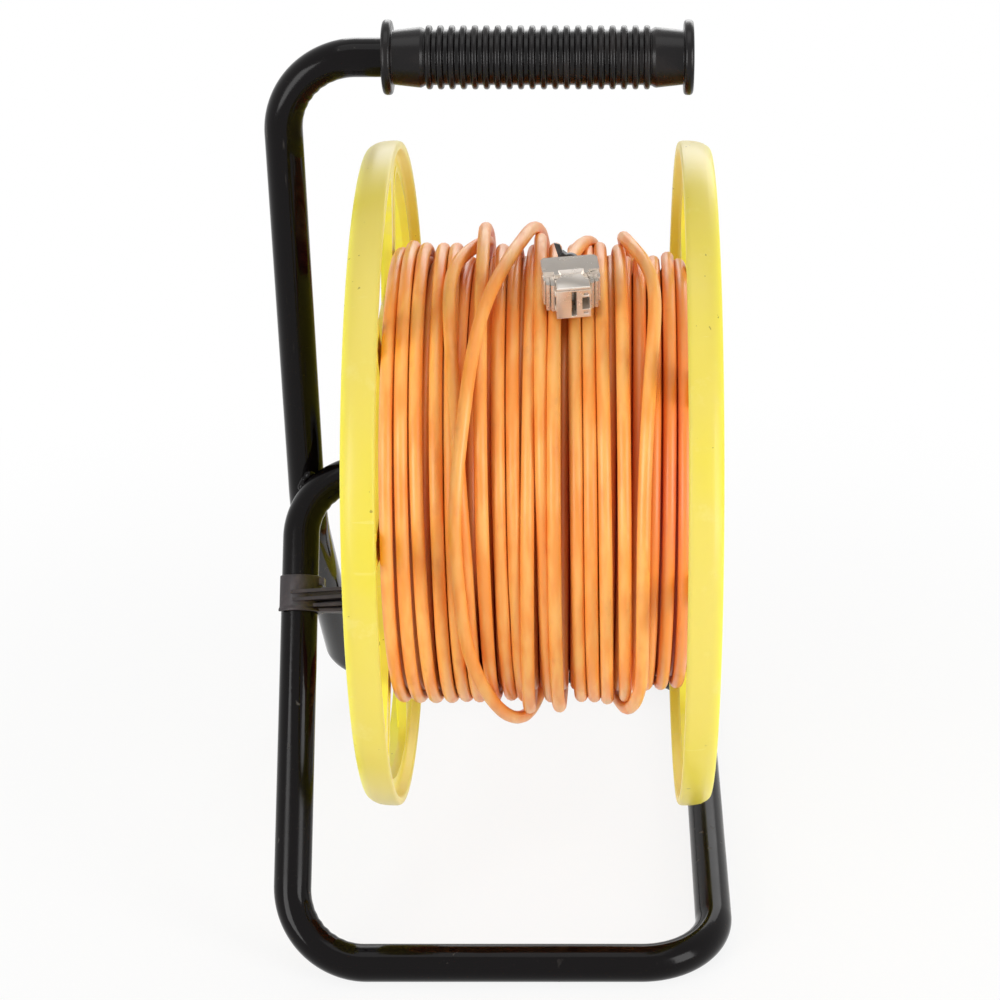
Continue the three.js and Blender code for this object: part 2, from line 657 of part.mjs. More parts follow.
// The layers beneath, as one plain ring, with the stub where the cable climbs out of them.
function innerLayers(points) {
  const body = ring(BARREL_R + GAP, coreR, -layerHalf - CABLE_R, layerHalf + CABLE_R, DRUM_SIDES);
  const direction = points[1].clone().sub(points[0]).normalize();
  const start = points[0].clone().addScaledVector(direction, -GAP);
  const startR = Math.hypot(start.x, start.z);
  const startAngle = Math.atan2(start.x, start.z);
  const stub = [start];
  for (let i = 1; i <= STUB_STEPS; i++) {
    const sunk = (2 * CABLE_R + STUB_SINK) * (i / STUB_STEPS) ** 2;
    stub.unshift(onDrum(startR - sunk, startAngle - (i * STUB_LENGTH) / STUB_STEPS / LAYER_R, start.y));
  }
  return join(body, sweep(woundRoute(stub, null, direction), sectionOf(CABLE_R, CABLE_SIDES)));
}

// ---------- jack ----------
// In the jack's own frame X runs to the mouth, Y is its width and Z its height above the winding.
function jackHousing() {
  const half = JACK_LENGTH / 2;
  const body = block([-half, -JACK_WIDTH / 2, 0], [half, JACK_WIDTH / 2, JACK_HEIGHT]);
  const floor = (JACK_HEIGHT - PORT_H) / 2;
  const port = block([half - PORT_DEPTH, -PORT_W / 2, floor], [half + 1, PORT_W / 2, floor + PORT_H]);
  const notch = block(
    [half - PORT_DEPTH, PORT_W / 2 - 1, (JACK_HEIGHT - PORT_NOTCH_H) / 2],
    [half + 1, PORT_W / 2 + PORT_NOTCH_W, (JACK_HEIGHT + PORT_NOTCH_H) / 2],
  );
  return cut(body, port, notch);
}

// The termination cover: a saddle over the housing's rear with a ribbed flank each side.
function jackSaddle() {
  const rear = -JACK_LENGTH / 2 + SADDLE_SET_IN;
  const front = rear + SADDLE_LENGTH;
  const inner = JACK_WIDTH / 2 + GAP;
  const outer = inner + SADDLE_WALL;
  const top = JACK_HEIGHT + GAP;
  const crown = block([rear, -outer, top], [front, outer, top + SADDLE_CROWN]);
  const flanks = [-1, 1].flatMap((side) => {
    const [y0, y1] = side < 0 ? [-outer, -inner] : [inner, outer];
    const wall = block([rear, y0, FLANK_FLOOR], [front + FLANK_REACH, y1, top + SADDLE_CROWN / 2]);
    const [h0, h1] = side < 0 ? [-outer - HEM_T, -inner - GAP] : [inner + GAP, outer + HEM_T];
    const hem = block([rear + HEM_LENGTH, h0, FLANK_FLOOR + 1], [rear + 2 * HEM_LENGTH, h1, top]);
    return [wall, hem];
  });
  return join(crown, ...flanks);
}

// The spring latch on the housing's top, in front of the saddle.
function jackLatch() {
  const from = -JACK_LENGTH / 2 + SADDLE_SET_IN + SADDLE_LENGTH + GAP;
  const low = JACK_HEIGHT + GAP;
  const outline = [
    [from, low],
    [from + LATCH_LENGTH, low],
    [from + LATCH_LENGTH, low + LATCH_LIP],
    [from + LATCH_FLAT, low + SADDLE_CROWN],
    [from, low + SADDLE_CROWN],
  ];
  return slab(outline, -LATCH_WIDTH / 2, LATCH_WIDTH / 2);
}

// Eight contact wires along the port's left side, from a bar at its back.
function jackContacts() {
  const back = JACK_LENGTH / 2 - PORT_DEPTH + GAP;
  const side = PORT_W / 2 - GAP;
  const halfBar = PORT_H / 2 - GAP;
  const [barDepth, barWidth] = CONTACT_BAR;
  const bar = block([back, -halfBar, -side], [back + barDepth, halfBar, -side + barWidth]);
  const root = back + barDepth / 2;
  const tip = back + CONTACT_LENGTH;
  const wires = [];
  for (let i = 0; i < CONTACT_COUNT; i++) {
    const y = (i - (CONTACT_COUNT - 1) / 2) * CONTACT_PITCH;
    const outline = [[root, 0.3 - side], [tip, 1 - side], [tip, 1.5 - side], [root, 1 - side]];
    wires.push(slab(outline, y - CONTACT_W / 2, y + CONTACT_W / 2));
  }
  return join(bar, ...wires).rotateX(-Math.PI / 2).translate(0, 0, JACK_HEIGHT / 2);
}

// A cable tie round the cable behind the jack, with its head and its cut tail on top.
function cableTie() {
  const bandR = CABLE_R + GAP;
  const band = ring(bandR, bandR + TIE_BAND_T, -TIE_BAND_W / 2, TIE_BAND_W / 2, 12);
  const [headW, headH] = TIE_BLOCK;
  const headLow = bandR + TIE_BAND_T / 2;
  const head = block([-headW / 2, -headW / 2, headLow], [headW / 2, headW / 2, headLow + headH]);
  const [tailT, tailW, tailLength] = TIE_TAIL;
  const tail = block([-tailT / 2, -tailW / 2, 0], [tailT / 2, tailW / 2, tailLength])
    .rotateY(TIE_TAIL_LEAN)
    .translate(0, 0, headLow + headH / 2);
  return join(band, head, tail);
}

// ---------- brake on the front leg ----------
// In the clip's own frame Y runs up the leg, X points to the drum and Z to the front.
const frictionAt = DRUM_X - FRICTION_FACE + HALF_TRACK; // friction ring's face from the leg's axis
const armEnd = frictionAt - GAP - PAD_T;

// An outline in X and Y, extruded along Z from low to high.
function plate(outline, low, high) {
  const shape = new THREE.Shape(outline.map(([x, y]) => new THREE.Vector2(x, y)));
  return new THREE.ExtrudeGeometry(shape, { depth: high - low, bevelEnabled: false }).translate(0, 0, low);
}

// One moulding: an open band snapped round the leg, and a ribbed arm that carries the pad's plate.
function brakeClip() {
  const inner = TUBE_R + GAP;
  const outer = inner + CLIP_WALL;
  const arc = (radius) =>
    Array.from({ length: CLIP_STEPS + 1 }, (_, i) => {
      const a = CLIP_START + (i / CLIP_STEPS) * CLIP_WRAP;
      return [radius * Math.sin(a), radius * Math.cos(a)];
    });
  const band = slab([...arc(outer), ...arc(inner).reverse()], -CLIP_H / 2, CLIP_H / 2);
  const web = block([inner - 1, ARM_LOW, 0], [armEnd - 1.5, ARM_TOP, ARM_WEB_T]);
  const ribEnd = armEnd - GAP - PAD_PLATE_T / 2;
  const half = ARM_RIB_T / 2;
  const ribs = ARM_RIBS.map(([atBand, atPad]) => {
    const outline = [[0, atBand - half], [ribEnd, atPad - half], [ribEnd, atPad + half], [0, atBand + half]];
    return plate(outline, ARM_WEB_T / 2, outer - GAP);
  });
  const padPlate = rod(PAD_R, -PAD_PLATE_T, 0, 16)
    .rotateZ(-Math.PI / 2)
    .translate(armEnd - GAP, PAD_UP, PAD_FORWARD);
  const bore = rod(inner, -CLIP_H, CLIP_H, RING_SIDES);
  return cut(join(band, web, ...ribs, padPlate), bore);
}

function brakePad() {
  return rod(PAD_R - 0.4, armEnd, armEnd + PAD_T, 16).rotateZ(-Math.PI / 2).translate(0, PAD_UP, PAD_FORWARD);
}

// ---------- assembly ----------
const reel = new THREE.Group();

const whole = new THREE.Group();
reel.add(whole);

piece("frame_tube", frameTube(), materials.paintedTube, whole);

const handle = new THREE.Group();
handle.position.set(DRUM_X, 0, HANDLE_Z);
handle.rotation.z = -Math.PI / 2;
whole.add(handle);
piece("handle_grip", gripSleeve(), materials.gripPlastic, handle);
const handlePlug = piece("handle_end_plug", tubePlug(), materials.gripPlastic, handle);
handlePlug.position.y = GRIP_END - GRIP_COLLAR_T;

// The axle's own frame: Y runs along the axle to the right, from the drum's middle.
const axle = new THREE.Group();
axle.position.set(DRUM_X, 0, HUB_Z);
axle.rotation.z = -Math.PI / 2;
whole.add(axle);

const washer = ring(TUBE_R + GAP, BOSS_R, WASHER_AT, WASHER_AT + WASHER_T, RING_SIDES);
piece("axle_washer_right", washer, materials.zincSteel, axle);
piece("axle_snap_ring", snapRing(), materials.zincSteel, axle);
piece("axle_end_plug", tubePlug().translate(0, AXLE_END, 0), materials.gripPlastic, axle);
const collarAt = -WASHER_AT - COLLAR_T;
const stopCollar = ring(TUBE_R + GAP, BOSS_R - 1, collarAt, collarAt + COLLAR_T, RING_SIDES);
piece("axle_stop_collar", stopCollar, materials.zincSteel, axle);

const drumFlange = flange();
piece("flange_right", drumFlange, materials.drumPlastic, axle);
piece("flange_left", turnedOver(drumFlange), materials.drumPlastic, axle);
const barrelEnd = WEB_IN - GAP;
const barrel = ring(BARREL_R - BARREL_WALL, BARREL_R, -barrelEnd, barrelEnd, BARREL_SIDES);
piece("drum_barrel", barrel, materials.drumPlastic, axle);
piece("hub_bush_right", bush(), materials.bushPlastic, axle);
piece("hub_bush_left", turnedOver(bush()), materials.bushPlastic, axle);
for (let i = 0; i < TIE_COUNT; i++) {
  piece(`tie_bolt_${i + 1}`, tieBolt(tieAngle(i)), materials.zincSteel, axle);
  piece(`tie_nut_${i + 1}`, tieNut(tieAngle(i)), materials.zincSteel, axle);
}

const cablePoints = cableStations();
const cableSelfGap = leastSelfGap(cablePoints);
console.log("cable's least gap to itself:", cableSelfGap.toFixed(2), "mm");
piece("cable_inner_layers", innerLayers(cablePoints), materials.cableSheath, axle);
const outerRoute = woundRoute(cablePoints, null, jackAxes().mouth);
const outerLayer = sweep(outerRoute, sectionOf(CABLE_R, CABLE_SIDES));
piece("cable_outer_layer", outerLayer, materials.cableSheath, axle);

const jack = new THREE.Group();
jack.position.copy(jackSeat());
jack.rotation.y = JACK_ANGLE;
axle.add(jack);
piece("jack_housing", jackHousing(), materials.jackMetal, jack);
piece("jack_saddle", jackSaddle(), materials.jackMetal, jack);
piece("jack_latch", jackLatch(), materials.jackMetal, jack);
piece("jack_contacts", jackContacts(), materials.goldContact, jack);
const tie = piece("cable_tie", cableTie().rotateZ(-Math.PI / 2), materials.tiePlastic, jack);
tie.position.set(-JACK_LENGTH / 2 - 3, 0, JACK_ENTRY_H);

const brake = new THREE.Group();
brake.position.set(-HALF_TRACK, 0, HUB_Z).addScaledVector(legUp, -BRAKE_R);
brake.rotation.x = Math.PI / 2 - legLean;
whole.add(brake);
piece("brake_clip", brakeClip(), materials.clampPlastic, brake);
piece("brake_pad", brakePad(), materials.brakeRubber, brake);

// The clip stands out on the left, so everything moves sideways until the box is centred.
const box = new THREE.Box3().setFromObject(whole, true);
whole.position.x = -(box.min.x + box.max.x) / 2;
console.log("everything moved by", whole.position.x.toFixed(6), "mm in X");

export default reel;
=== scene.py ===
# %% [markdown]
# # A hand-held cable reel
# The reel is one bent steel tube that is stand, handle and axle in one. A yellow
# plastic drum turns on the axle and carries a wound orange data cable, whose metal
# jack lies on top of the winding.
#
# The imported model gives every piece's place and the bodies that move. This script
# builds the surfaces that are seen, around that frame and in its metres.

# %% Load the frame
import json
import math
import random
from contextlib import contextmanager

import bpy
import bmesh
import numpy as np
from mathutils import Matrix, Vector


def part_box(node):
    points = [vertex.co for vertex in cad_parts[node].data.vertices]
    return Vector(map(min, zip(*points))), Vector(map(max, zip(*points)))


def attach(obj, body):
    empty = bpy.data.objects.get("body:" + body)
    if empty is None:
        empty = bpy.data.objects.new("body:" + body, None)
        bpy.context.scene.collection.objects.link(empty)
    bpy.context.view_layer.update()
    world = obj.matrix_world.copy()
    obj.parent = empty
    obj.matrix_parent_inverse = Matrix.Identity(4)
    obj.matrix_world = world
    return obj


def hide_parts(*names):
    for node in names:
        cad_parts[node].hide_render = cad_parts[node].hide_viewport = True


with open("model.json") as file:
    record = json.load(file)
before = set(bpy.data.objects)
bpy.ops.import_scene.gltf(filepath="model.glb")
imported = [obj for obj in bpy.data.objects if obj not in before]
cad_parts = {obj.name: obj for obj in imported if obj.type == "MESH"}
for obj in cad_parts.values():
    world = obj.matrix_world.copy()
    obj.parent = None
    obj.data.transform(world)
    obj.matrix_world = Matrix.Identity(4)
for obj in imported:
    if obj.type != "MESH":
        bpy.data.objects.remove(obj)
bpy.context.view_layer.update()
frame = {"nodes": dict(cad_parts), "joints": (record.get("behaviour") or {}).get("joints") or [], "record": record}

# %% [markdown]
# The sizes of the real reel are written once, in millimetres, and `mm` turns them
# into Blender's metres. The drum's middle and the axle's height come from the
# frame's own joint.

# %% Sizes of the reel
mm = 0.001
hub = Vector(frame["joints"][0]["pos_m"])  # the axle, at the middle of the drum
HANDLE_Z = 389.5 * mm
TUBE_R = 8.5 * mm
TUBE_WALL = 1.5 * mm
HALF_TRACK = 96.25 * mm
HALF_DEPTH = 134 * mm
MIDDLE_X = hub.x - 15.75 * mm  # half way between the side tubes
FLOOR_BAR_Z = TUBE_R * math.cos(math.pi / 14)
FLANGE_R = 155 * mm
WEB_IN = 68.7 * mm  # from the drum's middle to the web's inner face
WEB_OUT = 71.7 * mm
print("hub at", [round(v, 4) for v in hub])

# %% [markdown]
# ## Camera and light
# A long lens looks down at 25 degrees and the picture plane stays square to the
# reel's front, so a small shift frames it. Soft light comes from both sides of the
# camera and less from above, on a pale floor, so rims and cable stay bright and the
# tops of things fall off a little.

# %% Camera
scene = bpy.context.scene
scene.view_settings.view_transform = "Standard"
LOOK_DOWN = math.radians(25)
LOOK_FROM = 1.111  # hub to camera

camera = bpy.data.objects.new("camera", bpy.data.cameras.new("camera"))
scene.collection.objects.link(camera)
camera.location = hub + Vector((26.4 * mm, -LOOK_FROM * math.cos(LOOK_DOWN), LOOK_FROM * math.sin(LOOK_DOWN)))
camera.rotation_euler = (math.pi / 2 - LOOK_DOWN, 0, 0)
camera.data.sensor_width = 36
camera.data.lens = 84.96
camera.data.shift_x = -0.097
camera.data.shift_y = -0.027
scene.camera = camera
print("camera at", [round(v, 3) for v in camera.location])


# %% Lamps and the white surround
def soft_box(name, place, aim, width, height, watts):
    """A rectangular studio lamp that looks at a point."""
    lamp = bpy.data.lights.new(name, "AREA")
    lamp.shape = "RECTANGLE"
    lamp.size, lamp.size_y, lamp.energy = width, height, watts
    holder = bpy.data.objects.new(name, lamp)
    scene.collection.objects.link(holder)
    holder.location = place
    holder.rotation_euler = (Vector(aim) - Vector(place)).to_track_quat("-Z", "Y").to_euler()
    return holder


soft_box("lamp_left", (-1.25, -1.25, 0.65), (0, 0, 0.2), 0.7, 1.1, 15.5)
soft_box("lamp_right", (1.35, -1.05, 0.6), (0, 0, 0.2), 0.7, 1.1, 15.5)
soft_box("lamp_top", (0, -0.2, 1.7), (0, 0, 0.2), 1.2, 0.9, 4)
soft_box("lamp_back", (0.3, 1.5, 0.9), (0, 0, 0.2), 1.4, 0.8, 9)

surround = bpy.data.worlds.new("white_surround")
surround.use_nodes = True
scene.world = surround
nodes, links = surround.node_tree.nodes, surround.node_tree.links
background = nodes["Background"]
background.inputs["Color"].default_value = (1, 1, 1, 1)
rays = nodes.new("ShaderNodeLightPath")
strength = nodes.new("ShaderNodeMapRange")
strength.inputs["To Min"].default_value = 0.34
strength.inputs["To Max"].default_value = 1.0
links.new(strength.outputs["Result"], background.inputs["Strength"])
seen = rays.outputs["Is Camera Ray"]
for kind in ("Is Glossy Ray", "Is Transmission Ray"):
    larger = nodes.new("ShaderNodeMath")
    larger.operation = "MAXIMUM"
    links.new(seen, larger.inputs[0])
    links.new(rays.outputs[kind], larger.inputs[1])
    seen = larger.outputs[0]
links.new(seen, strength.inputs["Value"])

# %% [markdown]
# ## A small language for materials
# Shader maths reads best as ordinary expressions. `Signal` wraps one socket and
# lets Python's signs add the Math nodes; `Paint` owns one material and makes any
# other node in one call.


# %% Signals and paints
class Signal:
    """An output socket that Python's operators can calculate with."""

    def __init__(self, paint, socket):
        self.paint, self.socket = paint, socket

    def math(self, operation, *values):
        settings = {"operation": operation}
        return self.paint.add("ShaderNodeMath", settings, dict(enumerate(values)))

    def __add__(self, other):
        return self.math("ADD", self, other)

    def __sub__(self, other):
        return self.math("SUBTRACT", self, other)

    def __rsub__(self, other):
        return self.math("SUBTRACT", other, self)

    def __mul__(self, other):
        return self.math("MULTIPLY", self, other)

    __radd__, __rmul__ = __add__, __mul__

    def over(self, low, high):
        """0 below low, 1 above high, and a smooth rise between."""
        settings = {"interpolation_type": "SMOOTHSTEP"}
        values = {"Value": self, "From Min": low, "From Max": high}
        return self.paint.add("ShaderNodeMapRange", settings, values)


class Paint:
    """One material built round a Principled shader."""

    def __init__(self, name, **constants):
        self.material = bpy.data.materials.new(name)
        self.material.use_nodes = True
        self.tree = self.material.node_tree
        self.shader = self.tree.nodes["Principled BSDF"]
        for socket, value in constants.items():
            self.shader.inputs[socket.replace("_", " ").title().replace("Ior", "IOR")].default_value = value
        self.place = self.add("ShaderNodeTexCoord", output="Object")

    def add(self, kind, settings=None, values=None, output=0):
        """Adds a node: its settings first, then its sockets' values or links."""
        node = self.tree.nodes.new(kind)
        for name, value in (settings or {}).items():
            setattr(node, name, value)
        for name, value in (values or {}).items():
            if isinstance(value, Signal):
                self.tree.links.new(value.socket, node.inputs[name])
            else:
                node.inputs[name].default_value = value
        return Signal(self, node.outputs[output])

    def noise(self, scale, detail=3.0, roughness=0.5, stretch=(1, 1, 1)):
        """Cloudy noise; scale is in clouds a metre and stretch thins them along an axis."""
        spot = self.add("ShaderNodeMapping", None, {"Vector": self.place, "Scale": stretch})
        values = {"Vector": spot, "Scale": scale, "Detail": detail, "Roughness": roughness}
        return self.add("ShaderNodeTexNoise", None, values)

    def cells(self, scale):
        """Small round cells, as crystals of zinc; scale is in cells a metre."""
        return self.add("ShaderNodeTexVoronoi", None, {"Vector": self.place, "Scale": scale})

    def from_axle(self):
        """Distance from the drum's axle, in metres."""
        values = {"Vector": self.place, "Location": (0, 0, -hub.z), "Scale": (0, 1, 1)}
        arm = self.add("ShaderNodeMapping", None, values)
        return self.add("ShaderNodeVectorMath", {"operation": "LENGTH"}, {0: arm}, output="Value")

    def blend(self, share, first, second):
        """Mixes two colours by a share that changes over the surface."""
        values = {0: share, 6: first, 7: second}
        return self.add("ShaderNodeMix", {"data_type": "RGBA"}, values, output=2)

    def feed(self, **signals):
        for socket, signal in signals.items():
            self.tree.links.new(signal.socket, self.shader.inputs[socket.replace("_", " ")])
        return self

    def relief(self, height, depth):
        """Bumps the surface by a height from 0 to 1 that stands for depth metres."""
        values = {"Height": height, "Distance": depth, "Strength": 1.0}
        bump = self.add("ShaderNodeBump", None, values, output="Normal")
        return self.feed(Normal=bump)


def rgb(red, green, blue):
    """A colour as the eye names it, 0 to 255, in the shader's own linear scale."""
    linear = [v / 255 / 12.92 if v <= 10 else ((v / 255 + 0.055) / 1.055) ** 2.4 for v in (red, green, blue)]
    return (*linear, 1.0)


# %% [markdown]
# ### Finishes of the frame
# The tube has a thick gloss paint: nearly black, with a faint orange-peel ripple, soft smears that dull it here
# and there, and fine scratches. The grip and the plugs are a semi-gloss moulding with a fine grain and lighter
# worn patches.


# %% Gloss paint on the tube
def gloss_paint():
    paint = Paint("tube_gloss_paint", specular_ior_level=0.14)
    smear = paint.noise(16, 4).over(0.46, 0.72)
    scratch = paint.noise(260, 2, stretch=(1, 1, 0.07)).over(0.68, 0.74) * paint.noise(30, 2).over(0.52, 0.6)
    dust = paint.noise(900, 3).over(0.62, 0.8) * smear
    dark = paint.blend(dust * 0.3, rgb(8, 5, 6), rgb(62, 56, 50))
    paint.feed(Base_Color=paint.blend(scratch * 0.5, dark, rgb(92, 88, 84)))
    paint.feed(Roughness=smear * 0.14 + scratch * 0.25 + 0.1)
    paint.relief(paint.noise(420, 1) * 0.8 - scratch * 0.3, 0.00003)
    return paint.material


def grip_plastic():
    paint = Paint("grip_black_plastic", specular_ior_level=0.26)
    wear = paint.noise(55, 4).over(0.5, 0.75)
    grain = paint.noise(2600, 2)
    paint.feed(Base_Color=paint.blend(wear * 0.5, rgb(8, 5, 6), rgb(36, 30, 28)))
    paint.feed(Roughness=wear * 0.16 + grain * 0.06 + 0.2)
    paint.relief(grain, 0.00004)
    return paint.material


# %% [markdown]
# ### Finishes of the drum
# The flanges are moulded in a bright yellow plastic that lets a little light in.
# The rim's outer face is painted paler and greyer, a painted highlight, and nearer the axle the plastic keeps a
# deeper yellow. The rim is also paler in random rubbed patches and carries short scratches and a few dark marks.
# The cable has a smooth satin sheath whose orange wanders slightly from turn to turn; its outer turns are painted
# a light orange that also stands for the front light on them, and its deeper turns a deep red that is painted
# shade between the turns.


# %% Yellow moulding, orange sheath, pale bush
def drum_plastic():
    constants = {"specular_ior_level": 0.3, "subsurface_weight": 0.12, "subsurface_scale": 0.004}
    paint = Paint("drum_yellow_plastic", **constants)
    paint.shader.inputs["Subsurface Radius"].default_value = (1.0, 0.7, 0.1)
    # Painted highlight: the rim's outer face, farthest from the axle, is paler and greyer than the rest.
    outside = paint.from_axle().over(0.151, 0.1545)
    cloud = paint.noise(9, 4).over(0.42, 0.7)
    rubbed = paint.noise(48, 5, 0.65).over(0.56, 0.74)
    scratch = paint.noise(240, 2, stretch=(0.12, 1, 1)).over(0.68, 0.73) * paint.noise(22, 2).over(0.5, 0.62)
    speck = paint.noise(330, 2).over(0.735, 0.75) * paint.noise(26, 1).over(0.52, 0.58)
    inside = paint.blend(cloud, rgb(252, 242, 84), rgb(250, 234, 66))
    body = paint.blend(outside, inside, paint.blend(cloud, rgb(230, 211, 100), rgb(230, 213, 72)))
    body = paint.blend(rubbed * 0.5, body, rgb(237, 224, 136))
    body = paint.blend(scratch * 0.2, body, rgb(244, 236, 168))
    paint.feed(Base_Color=paint.blend(speck * 0.55, body, rgb(110, 88, 44)))
    paint.feed(Roughness=rubbed * 0.14 + cloud * 0.06 + 0.3)
    paint.relief(paint.noise(700, 2) * 0.4 - scratch * 0.6, 0.00004)
    return paint.material


def cable_sheath():
    """Painted light by depth: a light orange on the outer turns, a deep red of painted shade on the deeper turns.
    """
    paint = Paint("cable_orange_sheath", subsurface_weight=0.1, subsurface_scale=0.002)
    paint.shader.inputs["Subsurface Radius"].default_value = (1.0, 0.3, 0.1)
    turn = paint.noise(34, 2, stretch=(5, 1, 1)).over(0.35, 0.65)
    grime = paint.noise(70, 4, 0.6, stretch=(2, 1, 1)).over(0.55, 0.8)
    # Painted light and shade: the outer turns take a light orange that stands partly for front light, the deeper
    # turns a deep red as painted shade between turns.
    painted_light_by_depth = (paint.from_axle() + turn * 0.002).over(0.092, 0.104)
    body = paint.blend(turn, rgb(255, 184, 98), rgb(250, 158, 70))
    body = paint.blend(painted_light_by_depth, rgb(216, 60, 34), body)
    paint.feed(Base_Color=paint.blend(grime * 0.3, body, rgb(202, 120, 78)))
    paint.feed(Roughness=grime * 0.16 + turn * 0.05 + 0.34)
    paint.relief(paint.noise(1500, 2), 0.00003)
    return paint.material


def bush_plastic():
    paint = Paint("bush_pale_plastic")
    grease = paint.noise(120, 3).over(0.5, 0.8)
    paint.feed(Base_Color=paint.blend(grease * 0.6, rgb(222, 218, 206), rgb(150, 142, 126)))
    paint.feed(Roughness=0.55 - grease * 0.2)
    return paint.material


# %% [markdown]
# ### Metals, clip and tie
# The jack is a plated casting: grey from above, bright where an edge turns, with a
# fine cast grain. Small fittings are zinc plated. The brake's clip is a dull dark
# grey moulding and its pad is rubber.


# %% Metals and the small dark mouldings
def cast_metal():
    paint = Paint("jack_cast_metal", metallic=0.6)
    grain = paint.noise(1900, 3)
    tarnish = paint.noise(140, 3).over(0.4, 0.8)
    paint.feed(Base_Color=paint.blend(tarnish * 0.45, rgb(228, 220, 212), rgb(186, 176, 166)))
    paint.feed(Roughness=tarnish * 0.1 + grain * 0.06 + 0.2)
    paint.relief(grain, 0.00002)
    return paint.material


def zinc_plate():
    paint = Paint("zinc_plated_steel", metallic=1.0)
    bloom = paint.cells(420).over(0.0, 0.9)
    paint.feed(Base_Color=paint.blend(bloom * 0.5, rgb(196, 198, 202), rgb(168, 170, 172)))
    paint.feed(Roughness=bloom * 0.18 + 0.28)
    paint.relief(paint.noise(900, 2), 0.00002)
    return paint.material


def gold_wire():
    paint = Paint("gold_plated_wire", metallic=1.0)
    wear = paint.noise(800, 2).over(0.4, 0.7)
    paint.feed(Base_Color=paint.blend(wear, rgb(226, 186, 96), rgb(204, 160, 78)))
    paint.feed(Roughness=wear * 0.15 + 0.2)
    return paint.material


def clamp_plastic():
    paint = Paint("clamp_grey_plastic")
    dust = paint.noise(90, 5, 0.6).over(0.42, 0.75)
    grain = paint.noise(1700, 3)
    paint.feed(Base_Color=paint.blend(dust * 0.7, rgb(36, 28, 31), rgb(82, 70, 72)))
    paint.feed(Roughness=dust * 0.15 + 0.42)
    paint.relief(grain, 0.00008)
    return paint.material


def pad_rubber():
    paint = Paint("brake_pad_rubber", roughness=0.85)
    bloom = paint.noise(260, 4).over(0.4, 0.8)
    paint.feed(Base_Color=paint.blend(bloom, rgb(24, 24, 24), rgb(52, 50, 48)))
    paint.relief(paint.noise(1200, 3), 0.0001)
    return paint.material


def tie_nylon():
    paint = Paint("tie_black_nylon", roughness=0.4)
    ribs = paint.noise(1500, 1)
    paint.feed(Base_Color=paint.blend(ribs, rgb(20, 20, 21), rgb(34, 34, 36)))
    paint.relief(ribs, 0.00004)
    return paint.material


finish = {
    "painted_tube": gloss_paint(),
    "grip_plastic": grip_plastic(),
    "drum_plastic": drum_plastic(),
    "cable_sheath": cable_sheath(),
    "bush_plastic": bush_plastic(),
    "jack_metal": cast_metal(),
    "zinc_steel": zinc_plate(),
    "gold_contact": gold_wire(),
    "clamp_plastic": clamp_plastic(),
    "brake_rubber": pad_rubber(),
    "tie_plastic": tie_nylon(),
}
print("finishes:", ", ".join(finish))

for part in frame["record"]["subparts"]:
    node = frame["nodes"][part["node"]]
    node.data.materials.clear()
    node.data.materials.append(finish[part["material_slot"]])

# %% [markdown]
# ## Modelling by hand, in code
# Nearly every piece below starts from a primitive and is shaped in edit mode. These
# few helpers do what a hand would do again and again: pick one piece, enter edit
# mode, choose what is selected, push an extrusion, and tidy the finished mesh.


# %% Picking, editing and finishing
def alone(piece):
    """Deselects everything else and makes this piece the active one."""
    bpy.ops.object.select_all(action="DESELECT")
    bpy.context.view_layer.objects.active = piece
    piece.select_set(True)
    return piece


@contextmanager
def editing(piece):
    """Edit mode on one piece with all of it selected."""
    alone(piece)
    bpy.ops.object.mode_set(mode="EDIT")
    bpy.ops.mesh.select_mode(type="VERT")
    bpy.ops.mesh.select_all(action="SELECT")
    yield piece
    bpy.ops.object.mode_set(mode="OBJECT")


def choose(piece, test):
    """Selects only the vertices whose place passes a test."""
    bpy.ops.mesh.select_mode(type="VERT")
    bpy.ops.mesh.select_all(action="DESELECT")
    mesh = bmesh.from_edit_mesh(piece.data)
    for vertex in mesh.verts:
        if test(vertex.co):
            vertex.select_set(True)
    bmesh.update_edit_mesh(piece.data)


def push(step):
    """Extrudes what is selected by a step."""
    bpy.ops.mesh.extrude_region_move(TRANSFORM_OT_translate={"value": tuple(step)})


def close_up(merge=0.00001):
    """Merges doubles, drops loose bits and turns every face outwards."""
    bpy.ops.mesh.select_all(action="SELECT")
    bpy.ops.mesh.remove_doubles(threshold=merge)
    bpy.ops.mesh.delete_loose()
    bpy.ops.mesh.select_all(action="SELECT")
    bpy.ops.mesh.normals_make_consistent(inside=False)


def modify(piece, kind, **settings):
    """Adds a modifier and applies it."""
    alone(piece)
    bpy.ops.object.modifier_add(type=kind)
    modifier = piece.modifiers[-1]
    for name, value in settings.items():
        setattr(modifier, name, value)
    bpy.ops.object.modifier_apply(modifier=modifier.name)


def carve(piece, *others, way="DIFFERENCE"):
    """Cuts other shapes out of a piece, or fuses them to it, and removes them."""
    for other in others:
        modify(piece, "BOOLEAN", operation=way, object=other, solver="EXACT")
        bpy.data.objects.remove(other)


def finished(piece, name, body, slot, *nodes, smooth=40):
    """Names a piece, puts its place in its mesh, and gives it a body and a finish."""
    alone(piece)
    bpy.ops.object.transform_apply(location=True, rotation=True, scale=True)
    bpy.ops.object.shade_smooth_by_angle(angle=math.radians(smooth))
    piece.name = piece.data.name = name
    piece.data.materials.clear()
    piece.data.materials.append(finish[slot])
    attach(piece, body)
    if nodes:
        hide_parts(*nodes)
    triangles = sum(len(face.vertices) - 2 for face in piece.data.polygons)
    print(f"{name}: {triangles} triangles")
    return piece


# %% [markdown]
# A round piece is an outline spun about its axis. The outline begins as a circle
# with one vertex for each corner; the corners are moved to their places and rounded
# with a vertex bevel. `spin` then sweeps it round, as a lathe would.


